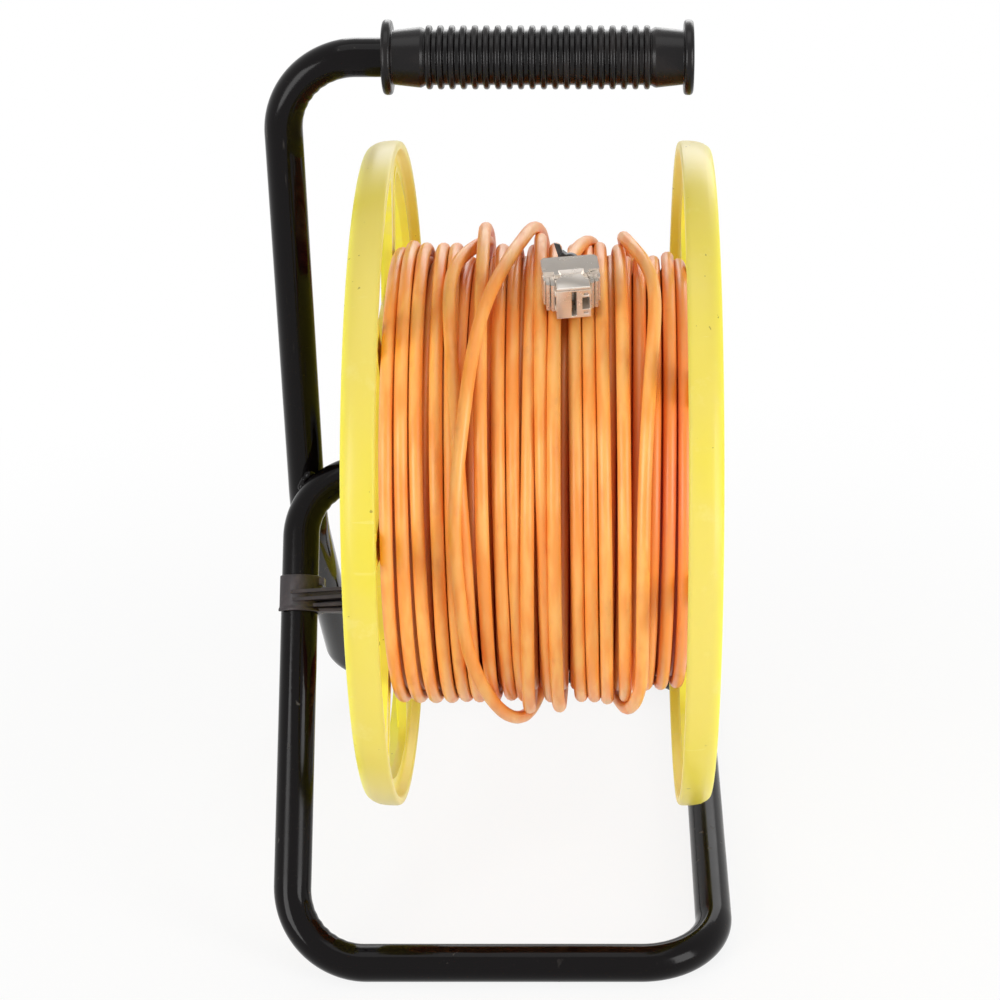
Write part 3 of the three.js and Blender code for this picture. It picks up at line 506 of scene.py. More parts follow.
# %% Outlines and the lathe
def wire(corners, place, segments=4):
    """A closed wire through corners (across, up, rounding), placed in space."""
    bpy.ops.object.select_all(action="DESELECT")
    bpy.ops.mesh.primitive_circle_add(vertices=len(corners), radius=1)
    piece = bpy.context.active_object
    spots = [Vector(place(*corner[:2])) for corner in corners]
    for vertex, spot in zip(piece.data.vertices, spots):
        vertex.co = spot
    roundings = [corner[2] if len(corner) > 2 else 0 for corner in corners]
    with editing(piece):
        for rounding in sorted(set(roundings) - {0}):
            mine = [spot for spot, r in zip(spots, roundings) if r == rounding]
            choose(piece, lambda v: any((v - spot).length < 1e-6 for spot in mine))
            bpy.ops.mesh.bevel(offset=rounding * mm, segments=segments, affect="VERTICES")
    return piece


def lathe(corners, middle, segments=96, rounding_steps=4):
    """Spins an outline (along X, radius, rounding), in mm, about the X axis through middle."""
    piece = wire(corners, lambda x, r: middle + Vector((x, 0, r)) * mm, rounding_steps)
    with editing(piece):
        bpy.ops.mesh.spin(steps=segments, angle=2 * math.pi, center=middle, axis=(1, 0, 0))
        close_up()
    return piece


# %% [markdown]
# Straight-sided pieces are plates: an outline filled with a face and pushed to its
# thickness. A place is a matrix that holds a piece's own axes, so a tilted piece is
# drawn square in its own millimetres and lands turned. Every sharp edge of a
# moulding or casting is then softened, because only a rounded edge catches light.


# %% Plates, blocks and softened edges
def soften(piece, size, segments=2, sharper_than=50):
    """Bevels every edge that is sharper than an angle."""
    with editing(piece):
        close_up(merge=0.00002)
        bpy.ops.mesh.select_mode(type="EDGE")
        bpy.ops.mesh.select_all(action="DESELECT")
        bpy.ops.mesh.edges_select_sharp(sharpness=math.radians(sharper_than))
        bpy.ops.mesh.bevel(offset=size * mm, segments=segments, clamp_overlap=True)
        close_up(merge=0.00002)
    return piece


def prism(place, corners, low, high, rounding_steps=3):
    """A plate: an outline in a place's X and Y, from low to high along its Z, in mm."""
    piece = wire(corners, lambda x, y: place @ (Vector((x, y, low)) * mm), rounding_steps)
    with editing(piece):
        bpy.ops.mesh.edge_face_add()
        push(place.to_3x3() @ Vector((0, 0, high - low)) * mm)
        close_up()
    return piece


def block(place, low, high):
    """A straight block between two corners, in a place's own axes and in mm."""
    (x0, y0, z0), (x1, y1, z1) = low, high
    return prism(place, [(x0, y0), (x1, y0), (x1, y1), (x0, y1)], z0, z1)


# %% [markdown]
# ## The bent tube
# One steel tube makes the handle, the side post, the stand on the floor and the
# axle. It is made here as a bending machine makes it: a ring is pushed straight,
# then spun about the middle of a bend, again and again. A real bend is a little
# flat across and has faint creases on its inside, so the vertices there are moved.

# %% The tube's course
POST_KNEE = (10.62 * mm, 163 * mm)  # the post leans back to pass behind the axle's bend
HANDLE_END = 79.25 * mm
AXLE_END = 80.8 * mm
TUBE_SIDES = 48
left, right = MIDDLE_X - HALF_TRACK, MIDDLE_X + HALF_TRACK
tube_corners = [
    (MIDDLE_X + HANDLE_END, 0, HANDLE_Z),
    (left, 0, HANDLE_Z),
    (left, *POST_KNEE),
    (left, HALF_DEPTH, FLOOR_BAR_Z),
    (right, HALF_DEPTH, FLOOR_BAR_Z),
    (right, -HALF_DEPTH, FLOOR_BAR_Z),
    (left, -HALF_DEPTH, FLOOR_BAR_Z),
    (left, 0, hub.z),
    (hub.x + AXLE_END, 0, hub.z),
]
bend_radii = [34 * mm, 60 * mm, 34 * mm, 34 * mm, 34 * mm, 34 * mm, 30 * mm]
GROOVE_X = (77.1 * mm, 78.7 * mm)  # for the snap ring, from the drum's middle
GROOVE_R = 7.8 * mm


# %% Pushing and spinning the tube
def bent_tube():
    points = [Vector(corner) for corner in tube_corners]
    here, way = points[0], (points[1] - points[0]).normalized()
    turn = way.to_track_quat("Z", "Y").to_euler()
    bpy.ops.object.select_all(action="DESELECT")
    bpy.ops.mesh.primitive_circle_add(vertices=TUBE_SIDES, radius=TUBE_R, location=here, rotation=turn)
    piece = bpy.context.active_object
    bpy.ops.object.transform_apply(location=True, rotation=True)
    bends = []
    with editing(piece):
        for corner, after, bend in zip(points[1:], points[2:], bend_radii):
            onward = (after - corner).normalized()
            angle = way.angle(onward)
            reach = bend * math.tan(angle / 2)
            push(corner - way * reach - here)
            axis = way.cross(onward).normalized()
            centre = corner - way * reach + axis.cross(way) * bend
            steps = max(16, round(angle * bend / (1.3 * mm)))
            bpy.ops.mesh.spin(steps=steps, angle=-angle, center=centre, axis=axis)
            bends.append((centre, axis, way, angle, bend))
            here, way = corner + onward * reach, onward
        for stop, radius in ((GROOVE_X[0], GROOVE_R), (GROOVE_X[1], TUBE_R)):
            push(Vector((hub.x + stop, 0, hub.z)) - here)
            here = Vector((hub.x + stop, 0, hub.z))
            push((0, 0, 0))
            size = radius / (TUBE_R if radius == GROOVE_R else GROOVE_R)
            bpy.ops.transform.resize(value=(1, size, size), center_override=here)
        push(points[-1] - here)
        bpy.ops.mesh.select_all(action="SELECT")
        bpy.ops.mesh.normals_make_consistent(inside=False)
    return piece, bends


def press_bends(piece, bends):
    """Flattens each bend a little and creases its inside."""
    for vertex in piece.data.vertices:
        for centre, axis, way, angle, bend in bends:
            arm = vertex.co - centre
            height = arm.dot(axis)
            flat = arm - axis * height
            turned = math.atan2(flat.dot(way), -flat.dot(axis.cross(way)))
            if not 0 < turned < angle or math.hypot(flat.length - bend, height) > 1.1 * TUBE_R:
                continue
            share = math.sin(math.pi * turned / angle)
            out = flat.length - bend
            inside = max(0, -out / TUBE_R) ** 3
            crease = 0.16 * mm * inside * math.cos(turned * bend / (0.9 * mm)) * share**2
            out = out * (1 - 0.045 * share) + crease
            vertex.co = centre + axis * height * (1 + 0.02 * share) + flat.normalized() * (bend + out)
            break


tube, tube_bends = bent_tube()
press_bends(tube, tube_bends)
modify(tube, "SOLIDIFY", thickness=TUBE_WALL, offset=-1)
finished(tube, "bent_tube", "frame", "painted_tube", "frame_tube")

# %% [markdown]
# ## The ribbed grip
# The handle carries a moulded sleeve: round ribs between two collars, with a plain
# cone at each end. The outline is written for one rib, repeated, and spun.

# %% Grip
GRIP_HALF = 67.5
COLLAR_W, COLLAR_R = 4.2, 16.2
RIBS, RIB_PITCH, RIB_R, GROOVE_DEPTH = 20, 4.98, 13.8, 1.9
RIB_W = 2.3
CONE_R = (11.7, 13.1)  # beside the collar, beside the ribs
GRIP_SHIFT = 0.8
grip_middle = Vector((hub.x + GRIP_SHIFT * mm, 0, HANDLE_Z))

outer = [
    (-GRIP_HALF, COLLAR_R, 1.6),
    (-GRIP_HALF + COLLAR_W, COLLAR_R, 1.4),
    (-GRIP_HALF + COLLAR_W, CONE_R[0], 0.6),
]
first_rib = -RIBS * RIB_PITCH / 2
outer.append((first_rib - 1.2, CONE_R[1], 0.5))
groove_r, side_w = RIB_R - GROOVE_DEPTH, 0.35
for rib in range(RIBS):
    middle = first_rib + (rib + 0.5) * RIB_PITCH
    for x, r, bend in ((-1, groove_r, 0.4), (-1, RIB_R, 0.85), (1, RIB_R, 0.85), (1, groove_r, 0.4)):
        outer.append((middle + x * (RIB_W / 2 + (side_w if r == groove_r else 0)), r, bend))
outer += [(-x, r, bend) for x, r, bend in outer[3::-1]]
bore = [(GRIP_HALF, 8.7, 0.5), (-GRIP_HALF, 8.7, 0.5)]
grip = lathe(outer + bore, grip_middle, segments=64, rounding_steps=3)
finished(grip, "grip_sleeve", "frame", "grip_plastic", "handle_grip")

# %% [markdown]
# ## The flanges
# Each flange is one moulding: a hoop with a slightly crowned face and a rounded lip,
# a web set back inside it, a friction ring and a boss round the axle. Seven windows
# with raised lips lighten the web and seven ribs stiffen its spokes on the outside.
# The round body is spun, then ribs are fused on and windows are carved through.

# %% Sizes of a flange
RIM_IN, RIM_OUT, RIM_WALL = 63.7, 78.3, 4.4
FRICTION_X, FRICTION_R = 74.2, (50, 66)
BOSS_R, BOSS_BORE, BOSS_IN, BOSS_OUT = 17, 11.5, 58.7, 73.2
WINDOW_R, WINDOW_CORNER = (84, 143), 14
WINDOWS, WINDOW_TURN = 7, math.radians(-20)
HALF_WINDOW = math.pi / 7 - math.radians(4.3)
LIP_W, LIP_H = 3.0, 0.4
SPOKE_RIB_W = 3.0
web_in, web_out = WEB_IN / mm, WEB_OUT / mm
flange_r = FLANGE_R / mm
inside_r = flange_r - RIM_WALL


def flange_place(x, r, angle):
    """A point of the right flange: mm along the axle, mm from it, angle of its windows."""
    return hub + Vector((x, -r * math.cos(angle), -r * math.sin(angle))) * mm


# %% Body, lips, ribs and windows
def flange_body():
    corners = [
        (RIM_IN, flange_r - 0.7, 0.9),
        (RIM_IN + 1.6, flange_r, 0.8),
        (RIM_OUT - 6.5, flange_r, 4),
        (RIM_OUT - 2.4, flange_r - 1.5, 1.8),
        (RIM_OUT, flange_r - 3.4, 1.2),
        (RIM_OUT, inside_r - 0.4, 0.8),
        (web_out, inside_r - 0.6, 1.6),
        (web_out, FRICTION_R[1], 0.6),
        (FRICTION_X, FRICTION_R[1] - 0.4, 0.5),
        (FRICTION_X, FRICTION_R[0] + 0.4, 0.5),
        (web_out, FRICTION_R[0], 0.6),
        (web_out, BOSS_R + 0.6, 0.8),
        (BOSS_OUT, BOSS_R, 0.6),
        (BOSS_OUT, BOSS_BORE, 0.4),
        (BOSS_IN, BOSS_BORE, 0.4),
        (BOSS_IN, BOSS_R, 0.6),
        (web_in, BOSS_R + 0.8, 1.2),
        (web_in, inside_r - 0.6, 1.6),
        (RIM_IN, inside_r + 0.6, 1.0),
    ]
    return lathe(corners, hub, segments=168)


def sector(turn, grow, x_low, x_high):
    """A plate with a window's shape, wider all round by grow."""
    rim, corner = [], WINDOW_CORNER + grow
    for r, way in ((WINDOW_R[1] + grow, 1), (WINDOW_R[0] - grow, -1)):
        half = HALF_WINDOW + grow / r
        flat = half - (corner + 0.6) / r
        angles = [-half, *(flat * (step / 4 - 1) for step in range(9)), half]
        rim += [(r, turn + way * angle, corner if abs(angle) == half else 0) for angle in angles]
    piece = wire(rim, lambda r, angle: flange_place(x_low, r, angle), segments=6)
    with editing(piece):
        bpy.ops.mesh.edge_face_add()
        push(((x_high - x_low) * mm, 0, 0))
        close_up()
    return piece


def spoke_rib(angle):
    """A straight stiffening rib on a spoke, from the friction ring to the hoop."""
    low, high = FRICTION_R[1] - 1, inside_r + 1
    middle = flange_place((web_out - 1 + FRICTION_X) / 2, (low + high) / 2, angle)
    bpy.ops.object.select_all(action="DESELECT")
    bpy.ops.mesh.primitive_cube_add(size=1, location=middle, rotation=(angle, 0, 0))
    rib = bpy.context.active_object
    rib.scale = Vector((FRICTION_X - web_out + 1, high - low, SPOKE_RIB_W)) * mm
    return rib


def together(pieces):
    """Joins pieces into one object."""
    alone(pieces[0])
    for piece in pieces:
        piece.select_set(True)
    bpy.ops.object.transform_apply(location=True, rotation=True, scale=True)
    bpy.ops.object.join()
    return pieces[0]


# %% One flange, and its twin turned over
def right_flange():
    body = flange_body()
    turns = [WINDOW_TURN + 2 * math.pi * i / WINDOWS for i in range(WINDOWS)]
    lips = together([sector(turn, LIP_W, web_in - LIP_H, web_out + LIP_H) for turn in turns])
    ribs = together([spoke_rib(turn + math.pi / WINDOWS) for turn in turns])
    holes = together([sector(turn, 0, web_in - 4, web_out + 4) for turn in turns])
    carve(body, lips, ribs, way="UNION")
    carve(body, holes)
    return soften(body, 0.35)


flange = right_flange()
twin = flange.copy()
twin.data = flange.data.copy()
scene.collection.objects.link(twin)
for vertex in twin.data.vertices:
    vertex.co = (2 * hub.x - vertex.co.x, vertex.co.y, 2 * hub.z - vertex.co.z)
finished(flange, "flange_moulding_right", "drum", "drum_plastic", "flange_right")
finished(twin, "flange_moulding_left", "drum", "drum_plastic", "flange_left")

# %% [markdown]
# ## The weld
# Where the axle's bend passes the post the two are welded. A weld is a row of
# overlapping drops, so round drops are set along the groove between the tubes, run
# together by a voxel remesh and smoothed, and painted over with the tube.

# %% Weld
WELD_FROM, WELD_TO, WELD_DROPS = math.radians(38), math.radians(50), 8
BEND_R = bend_radii[-1]


def groove_spot(turn):
    """A point above the groove between the post and the axle's bend, at an angle of the bend."""
    leg_way = (Vector(tube_corners[-2]) - Vector(tube_corners[-3])).normalized()
    outward = leg_way * math.sin(turn) - Vector((1, 0, 0)) * math.cos(turn)
    bend_middle = Vector(tube_corners[-2]) - leg_way * BEND_R + Vector((BEND_R, 0, 0))
    on_bend = bend_middle + outward * BEND_R
    up_post = (on_bend.z - POST_KNEE[1]) / (HANDLE_Z - POST_KNEE[1])
    on_post = Vector((left, POST_KNEE[0] * (1 - up_post), on_bend.z))
    rise = outward - outward.project(on_post - on_bend)
    return (on_bend + on_post) / 2 + rise.normalized() * 4.4 * mm


random.seed(4)
drops = []
for drop in range(WELD_DROPS):
    spot = groove_spot(WELD_FROM + (WELD_TO - WELD_FROM) * drop / (WELD_DROPS - 1))
    size = random.uniform(2.0, 3.0) * mm
    stray = Vector([random.uniform(-1.0, 1.0) for _ in range(3)]) * mm
    bpy.ops.object.select_all(action="DESELECT")
    bpy.ops.mesh.primitive_ico_sphere_add(subdivisions=2, radius=size, location=spot + stray)
    drops.append(bpy.context.active_object)
weld = together(drops)
modify(weld, "REMESH", mode="VOXEL", voxel_size=0.4 * mm)
modify(weld, "SMOOTH", factor=0.5, iterations=3)
finished(weld, "weld_bead", "frame", "painted_tube", smooth=180)

# %% [markdown]
# ## Where the jack lies
# The jack and the cable's end need each other's place, so the jack's own axes come
# first: X across it, Y from its mouth to its rear and Z up. It lies on the winding,
# tilted with it towards the front, and is turned a little so that its mouth points
# to the right.

# %% The jack's place
JACK_X, JACK_TILT, JACK_SEAT, JACK_YAW = 14.6, math.radians(19.5), 109.3, math.radians(7)
JACK_MOUTH, JACK_REAR, JACK_ENTRY = -15.3, 5.2, 7.6
jack_seat = Vector((JACK_X, -JACK_SEAT * math.sin(JACK_TILT), JACK_SEAT * math.cos(JACK_TILT)))
jack_place = (
    Matrix.Translation(hub + jack_seat * mm)
    @ Matrix.Rotation(JACK_TILT, 4, "X")
    @ Matrix.Rotation(JACK_YAW, 4, "Z")
)
print("jack at", [round(v, 4) for v in jack_place.translation])

# %% [markdown]
# ## The wound cable
# The cable was wound by hand, so its turns wander, cross and stand up in a few
# loose loops. Drawing them one by one would look drawn, so the cable is laid here
# as a hand lays it. It goes round in steps of five degrees, drifting to and fro
# between the flanges. At each step it rests on whatever turns lie below and may
# slide sideways into the nearest groove. It is taut, so it can't dip sharply. The
# last turns are laid carelessly, and the final one crosses over them to the jack.

# %% Sizes of the winding
CABLE_R = 3.0
BARREL_R = 60.0
BED_HALF = web_in - CABLE_R - 1.4  # outermost centre of a turn
STATIONS = 72  # steps in a turn
TURNS, TURNS_ACROSS, CARELESS_TURNS = 158, 20, 17
TAUT = 0.55  # most that the cable rises or dips in one step
SLIDE = np.arange(-3, 3.01, 0.3)  # how far a turn may slide to a groove
# Loose loops: place along the drum, angle from the top, height, and sideways sway.
LOOPS = [  # place along the drum, angle, height, sideways sway
    (-33, 0, 1.0, -10),
    (51, 0, 1.0, 9),
]
# The last turn: angle from the top and place along the drum; it crosses over the others.
LAST_TURN = [  # angle, place along the drum
    (-230, None),
    (-70, 1),
    (-25, -4),
    (5, -11),
    (33, -26),
    (75, -35),
    (110, -31),
    (158, -8),
    (220, 14),
    (280, 24),
    (340, 27),
]
rng = np.random.default_rng(11)


def wander(count, wave, size):
    """A smooth random line whose bends are about wave steps long."""
    knots = rng.normal(0, size, int(count / wave) + 4)
    spots = np.arange(count) / wave + rng.uniform(0, 1)
    index = spots.astype(int)
    share = spots - index
    share = share**2 * (3 - 2 * share)
    return knots[index] * (1 - share) + knots[index + 1] * share


def hump(steps, middle, width):
    return np.exp(-(((steps - middle) / width) ** 2))


# %% Where each step wishes to lie
def wished_course():
    """How far along the drum each step wishes to be, and how far it stands off as a loop."""
    steps = np.arange((TURNS - 1) * STATIONS + round(STATIONS * (LAST_TURN[-1][0] + 2) / 360))
    turn = steps / STATIONS
    across = BED_HALF * (2 * np.abs((turn / TURNS_ACROSS) % 2 - 1) - 1)
    careless = np.clip((turn - TURNS + CARELESS_TURNS) / 3, 0, 1)
    across += wander(len(steps), 22, 0.3)
    across += careless * (wander(len(steps), 26, 1.0) + wander(len(steps), 58, 2.3))
    stand_off = np.zeros(len(steps))
    for place, angle, height, sway in LOOPS:
        first, last = (TURNS - CARELESS_TURNS + 2) * STATIONS, round((TURNS - 1.2) * STATIONS)
        tops = [k for k in range(first, last) if k % STATIONS == round(angle * STATIONS / 360)]
        top = min(tops, key=lambda k: abs(across[k] - place))
        stand_off += height * hump(steps, top, 5.5)
        across += sway * np.tanh((steps - top) / 3) * hump(steps, top, 9)
    start = (TURNS - 1) * STATIONS
    angles = [start + angle * STATIONS / 360 for angle, _ in LAST_TURN]
    places = [across[round(angles[0])], *(place for _, place in LAST_TURN[1:])]
    window = np.hanning(9) / np.hanning(9).sum()
    crossing = np.convolve(np.pad(np.interp(steps, angles, places), 4, mode="edge"), window, "valid")
    across = np.where(steps >= angles[0], crossing, across)
    return np.clip(across, -BED_HALF, BED_HALF), stand_off


def rest_height(places, laid_along, laid_radius):
    """Radius at which a cable at each place rests on the turns laid before."""
    gap = np.abs(laid_along[None, :] - np.atleast_1d(places)[:, None])
    over = laid_radius[None, :] + np.sqrt(np.maximum((2 * CABLE_R) ** 2 - gap**2, 0))
    touching = np.where(gap < 2 * CABLE_R, over, 0).max(axis=1, initial=0)
    return np.maximum(touching, BARREL_R + CABLE_R)


# %% Laying the turns
def wind_cable():
    wish, stand_off = wished_course()
    along, radius = np.zeros(len(wish)), np.zeros(len(wish))
    slid = 0.0
    for turn in range(TURNS + 1):
        first = turn * STATIONS
        last = min(first + STATIONS + 10, len(wish))
        shift = slid
        free = turn < TURNS - 1
        for k in range(first, last):
            below = np.arange(k % STATIONS, k - STATIONS // 2, STATIONS)
            if free and len(below):
                places = np.clip(wish[k] + SLIDE, -BED_HALF, BED_HALF)
                heights = rest_height(places, along[below], radius[below])
                effort = heights + 0.12 * np.abs(SLIDE) + 1.2 * np.abs(SLIDE - shift)
                shift += float(np.clip(SLIDE[effort.argmin()] - shift, -0.3, 0.3))
            elif not free:
                shift *= 0.8
            along[k] = min(max(wish[k] + shift, -BED_HALF), BED_HALF)
            radius[k] = rest_height(along[k], along[below], radius[below])[0] + 0.03 + stand_off[k]
            if k == first + STATIONS - 1:
                slid = shift
        for k in range(max(first, 1), last):
            radius[k] = max(radius[k], radius[k - 1] - TAUT)
        for k in range(last - 2, first - 1, -1):
            radius[k] = max(radius[k], radius[k + 1] - TAUT)
    return along, radius


along, radius = wind_cable()
cable_length = np.hypot(np.diff(along), radius[1:] * 2 * math.pi / STATIONS).sum() / 1000
outermost = radius[-CARELESS_TURNS * STATIONS :]
print(f"winding: {cable_length:.1f} m of cable")
print(f"last turns at {outermost.mean():.1f} mm, highest {radius.max():.1f}")

# %% [markdown]
# The jack lies on the winding, so the turns under it are pressed down. The last
# steps of the cable rise in a small arch behind it and run into its rear. The whole
# course is smoothed a little, and is then given its thickness in two pieces: the
# buried layers with few faces and the layers that are seen with many.


# %% Pressing, joining the jack, and the two pieces of the winding
def on_drum(radius, angle, along):
    """A point of the drum: angle runs from the top towards the front."""
    return hub + Vector((along, -radius * math.sin(angle), radius * math.cos(angle))) * mm


def settle(along, radius):
    steps = np.arange(len(along))
    angle = steps * 2 * math.pi / STATIONS
    from_jack = np.abs((angle - JACK_TILT + math.pi) % (2 * math.pi) - math.pi)
    window = hump(from_jack, 0, 0.19) ** 0.5 * hump(along, JACK_X, 17)
    limit = JACK_SEAT - CABLE_R - 0.1
    radius = radius - np.clip(window * 1.6, 0, 1) * np.maximum(radius - limit, 0)
    for line in (along, radius):
        line[1:-1] = (line[:-2] + 2 * line[1:-1] + line[2:]) / 4
    return along, radius, angle


def run_to_jack(points):
    """Replaces the last steps by an arch that sways across and ends in the jack's rear."""
    kept = points[: -round(STATIONS * (LAST_TURN[-1][0] - 330) / 360) - round(STATIONS * 12 / 360)]
    here = kept[-1]
    onward = (here - kept[-2]).normalized()
    entry = jack_place @ (Vector((0, JACK_REAR - 2, JACK_ENTRY)) * mm)
    rearward = jack_place.to_3x3() @ Vector((0, 1, 0.12))
    pulls = here + onward * 36 * mm, entry + rearward * 16 * mm
    for step in range(1, 17):
        t = step / 16
        weights = (1 - t) ** 3, 3 * t * (1 - t) ** 2, 3 * t**2 * (1 - t), t**3
        kept.append(sum((spot * weight for spot, weight in zip((here, *pulls, entry), weights)), Vector()))
    return kept


def round_curve(points, sides, finer):
    """A cable along points, with finer steps between them where asked."""
    if finer > 1:
        line = np.array(points)
        padded = np.vstack([line[:1], line, line[-1:]])
        p0, p1, p2, p3 = padded[:-3], padded[1:-2], padded[2:-1], padded[3:]
        blocks = []
        for t in np.arange(finer) / finer:
            squared = (2 * p0 - 5 * p1 + 4 * p2 - p3) * t**2
            cubed = (3 * p1 - p0 - 3 * p2 + p3) * t**3
            blocks.append(0.5 * (2 * p1 + (p2 - p0) * t + squared + cubed))
        points = [*np.stack(blocks, axis=1).reshape(-1, 3), line[-1]]
    course = bpy.data.curves.new("course", "CURVE")
    course.dimensions = "3D"
    course.bevel_depth = CABLE_R * mm
    course.bevel_resolution = sides // 2 - 2
    course.use_fill_caps = True
    spline = course.splines.new("POLY")
    spline.points.add(len(points) - 1)
    spline.points.foreach_set("co", np.hstack([np.array(points), np.ones((len(points), 1))]).ravel())
    piece = bpy.data.objects.new("course", course)
    scene.collection.objects.link(piece)
    alone(piece)
    bpy.ops.object.convert(target="MESH")
    piece = bpy.context.active_object
    with editing(piece):
        close_up()
    return piece


along, radius, angle = settle(along, radius)
course = [on_drum(r, a, x) for r, a, x in zip(radius, angle, along)]
course = run_to_jack(course)
BURIED = 116 * STATIONS
buried = round_curve(course[: BURIED + 1], sides=6, finer=1)
seen = round_curve(course[BURIED:], sides=12, finer=2)
finished(buried, "cable_wound_inside", "drum", "cable_sheath", "cable_inner_layers", smooth=80)
finished(seen, "cable_wound_outside", "drum", "cable_sheath", "cable_outer_layer", smooth=80)

# %% [markdown]
# ## Small round fittings
# A bush, a washer and a snap ring hold the drum on the right and a bush and a collar
# on the left. Plastic plugs close the tube's two open ends. All are turned parts, so
# each is one outline for the lathe, with the edges rounded that a hand would feel.

# %% Bushes, washer, collar, snap ring and plugs
BORE_R, BUSH_R = 8.8, 11.2
BUSH_LIP = (73.5, 75.0)
WASHER = (75.3, 76.8)
COLLAR = (-80.3, -75.3)
SNAP_RING = (77.25, 78.55)
SNAP_IN, SNAP_OUT, SNAP_GAP_HALF = 8.1, 11.0, 2.5
PLUG_SHANK_R, PLUG_SHANK, PLUG_GAP, PLUG_HEAD = 6.6, 5.0, 0.3, 2.4

for side, name in ((1, "right"), (-1, "left")):
    corners = [
        (side * BOSS_IN, BORE_R, 0.4),
        (side * BOSS_IN, BUSH_R, 0.6),
        (side * BUSH_LIP[0], BUSH_R, 0.2),
        (side * BUSH_LIP[0], BOSS_R, 0.4),
        (side * BUSH_LIP[1], BOSS_R, 0.6),
        (side * BUSH_LIP[1], BORE_R, 0.5),
    ]
    finished(lathe(corners, hub, 64), f"axle_bush_{name}", "drum", "bush_plastic", f"hub_bush_{name}")


def turned_ring(low, high, inner, outer, edge):
    corners = [(low, inner, edge / 2), (low, outer, edge), (high, outer, edge), (high, inner, edge / 2)]
    return lathe(corners, hub, 64, 3)


washer = turned_ring(*WASHER, BORE_R, BOSS_R, 0.35)
finished(washer, "thrust_washer", "frame", "zinc_steel", "axle_washer_right")

collar = turned_ring(*COLLAR, BORE_R, BOSS_R - 1, 0.8)
SCREW_R, SCREW_DEPTH, SCREW_LEAN = 1.4, 4, 0.6
screw_way = Vector((0, -math.sin(SCREW_LEAN), math.cos(SCREW_LEAN)))
bpy.ops.object.select_all(action="DESELECT")
screw_spot = hub + Vector((sum(COLLAR) / 2 * mm, 0, 0)) + screw_way * 15 * mm
bpy.ops.mesh.primitive_cylinder_add(
    vertices=6, radius=SCREW_R * mm, depth=SCREW_DEPTH * mm, location=screw_spot, rotation=(SCREW_LEAN, 0, 0)
)
carve(collar, bpy.context.active_object)
finished(collar, "stop_collar_ring", "frame", "zinc_steel", "axle_stop_collar")

snap_ring = turned_ring(*SNAP_RING, SNAP_IN, SNAP_OUT, 0.25)
axle_frame = Matrix.Translation(hub)
gap_low = (SNAP_RING[0] - 1, -SNAP_GAP_HALF, -14)
gap_high = (SNAP_RING[1] + 1, SNAP_GAP_HALF, -5)
carve(snap_ring, block(axle_frame, gap_low, gap_high))
finished(snap_ring, "snap_ring_plate", "frame", "zinc_steel", "axle_snap_ring")


def end_plug(middle, tube_end):
    """A domed plug whose shank fills the tube's bore."""
    face = tube_end + PLUG_GAP
    corners = [
        (tube_end - PLUG_SHANK, 0),
        (tube_end - PLUG_SHANK, PLUG_SHANK_R, 0.6),
        (face, PLUG_SHANK_R, 0.2),
        (face, TUBE_R / mm - 0.1, 0.4),
        (face + PLUG_HEAD * 0.55, TUBE_R / mm - 0.1, 0.8),
        (face + PLUG_HEAD * 0.9, TUBE_R / mm * 0.6, 1.5),
        (face + PLUG_HEAD, 0),
    ]
    return lathe(corners, middle, 48)


finished(end_plug(hub, AXLE_END / mm), "axle_plug", "frame", "grip_plastic", "axle_end_plug")
grip_tube_end = (MIDDLE_X + HANDLE_END - grip_middle.x) / mm
finished(end_plug(grip_middle, grip_tube_end), "handle_plug", "frame", "grip_plastic", "handle_end_plug")

# %% [markdown]
# Four long bolts pull the flanges against the barrel. The head and the nut are lathe
# outlines spun in six steps, which makes them hexagons with chamfered corners, and
# the bolt's end has real threads. One bolt and one nut are made at each place.

# %% Tie bolts
TIE_R, HEX_R, HEX_H = 2.5, 4.6, 3.4
TIE_END, THREAD_FROM, THREAD_PITCH = 77.1, 66, 0.8
head_face = web_out + 0.3

for name in ("1", "2", "3", "4"):
    low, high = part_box(f"tie_bolt_{name}")
    middle = Vector((hub.x, (low[1] + high[1]) / 2, (low[2] + high[2]) / 2))
    shank = [(-head_face - 0.5, 0), (-head_face - 0.5, TIE_R), (THREAD_FROM, TIE_R)]
    for thread in range(round((TIE_END - 0.6 - THREAD_FROM) / THREAD_PITCH)):
        valley = THREAD_FROM + 0.3 + thread * THREAD_PITCH
        shank += [(valley, TIE_R - 0.35), (valley + 0.4, TIE_R)]
    shank += [(TIE_END - 0.2, TIE_R - 0.4), (TIE_END, TIE_R - 0.9), (TIE_END, 0)]
    head_top = -head_face - HEX_H
    head = [
        (head_top, 0),
        (head_top, HEX_R - 0.9),
        (head_top + 0.5, HEX_R),
        (-head_face, HEX_R),
        (-head_face, 0),
    ]
    bolt = lathe(shank, middle, 24)
    carve(bolt, lathe(head, middle, 6), way="UNION")
    finished(bolt, f"long_bolt_{name}", "drum", "zinc_steel", f"tie_bolt_{name}", smooth=30)
    nut_corners = [
        (head_face, TIE_R + 0.2),
        (head_face, HEX_R - 0.4),
        (head_face + 0.4, HEX_R),
        (head_face + HEX_H - 0.4, HEX_R),
        (head_face + HEX_H, HEX_R - 0.8),
        (head_face + HEX_H, TIE_R + 0.4),
    ]
    nut = lathe(nut_corners, middle, 6)
    finished(nut, f"long_bolt_nut_{name}", "drum", "zinc_steel", f"tie_nut_{name}", smooth=20)

# %% [markdown]
# ## The jack
# The jack is a die-cast housing whose square port lies on its side. A cover with
# stepped flanks is clamped over its rear, and a trapezoid latch plate lies on top in
# front of it. Every edge of a casting is rounded, and these roundings are what shines,
# so each piece is built sharp from plates, fused, carved and then softened.

# %% Housing with its port
HOUSING_HALF, HOUSING_H = 7.5, 15.2
front, back = JACK_MOUTH, JACK_REAR - 0.6

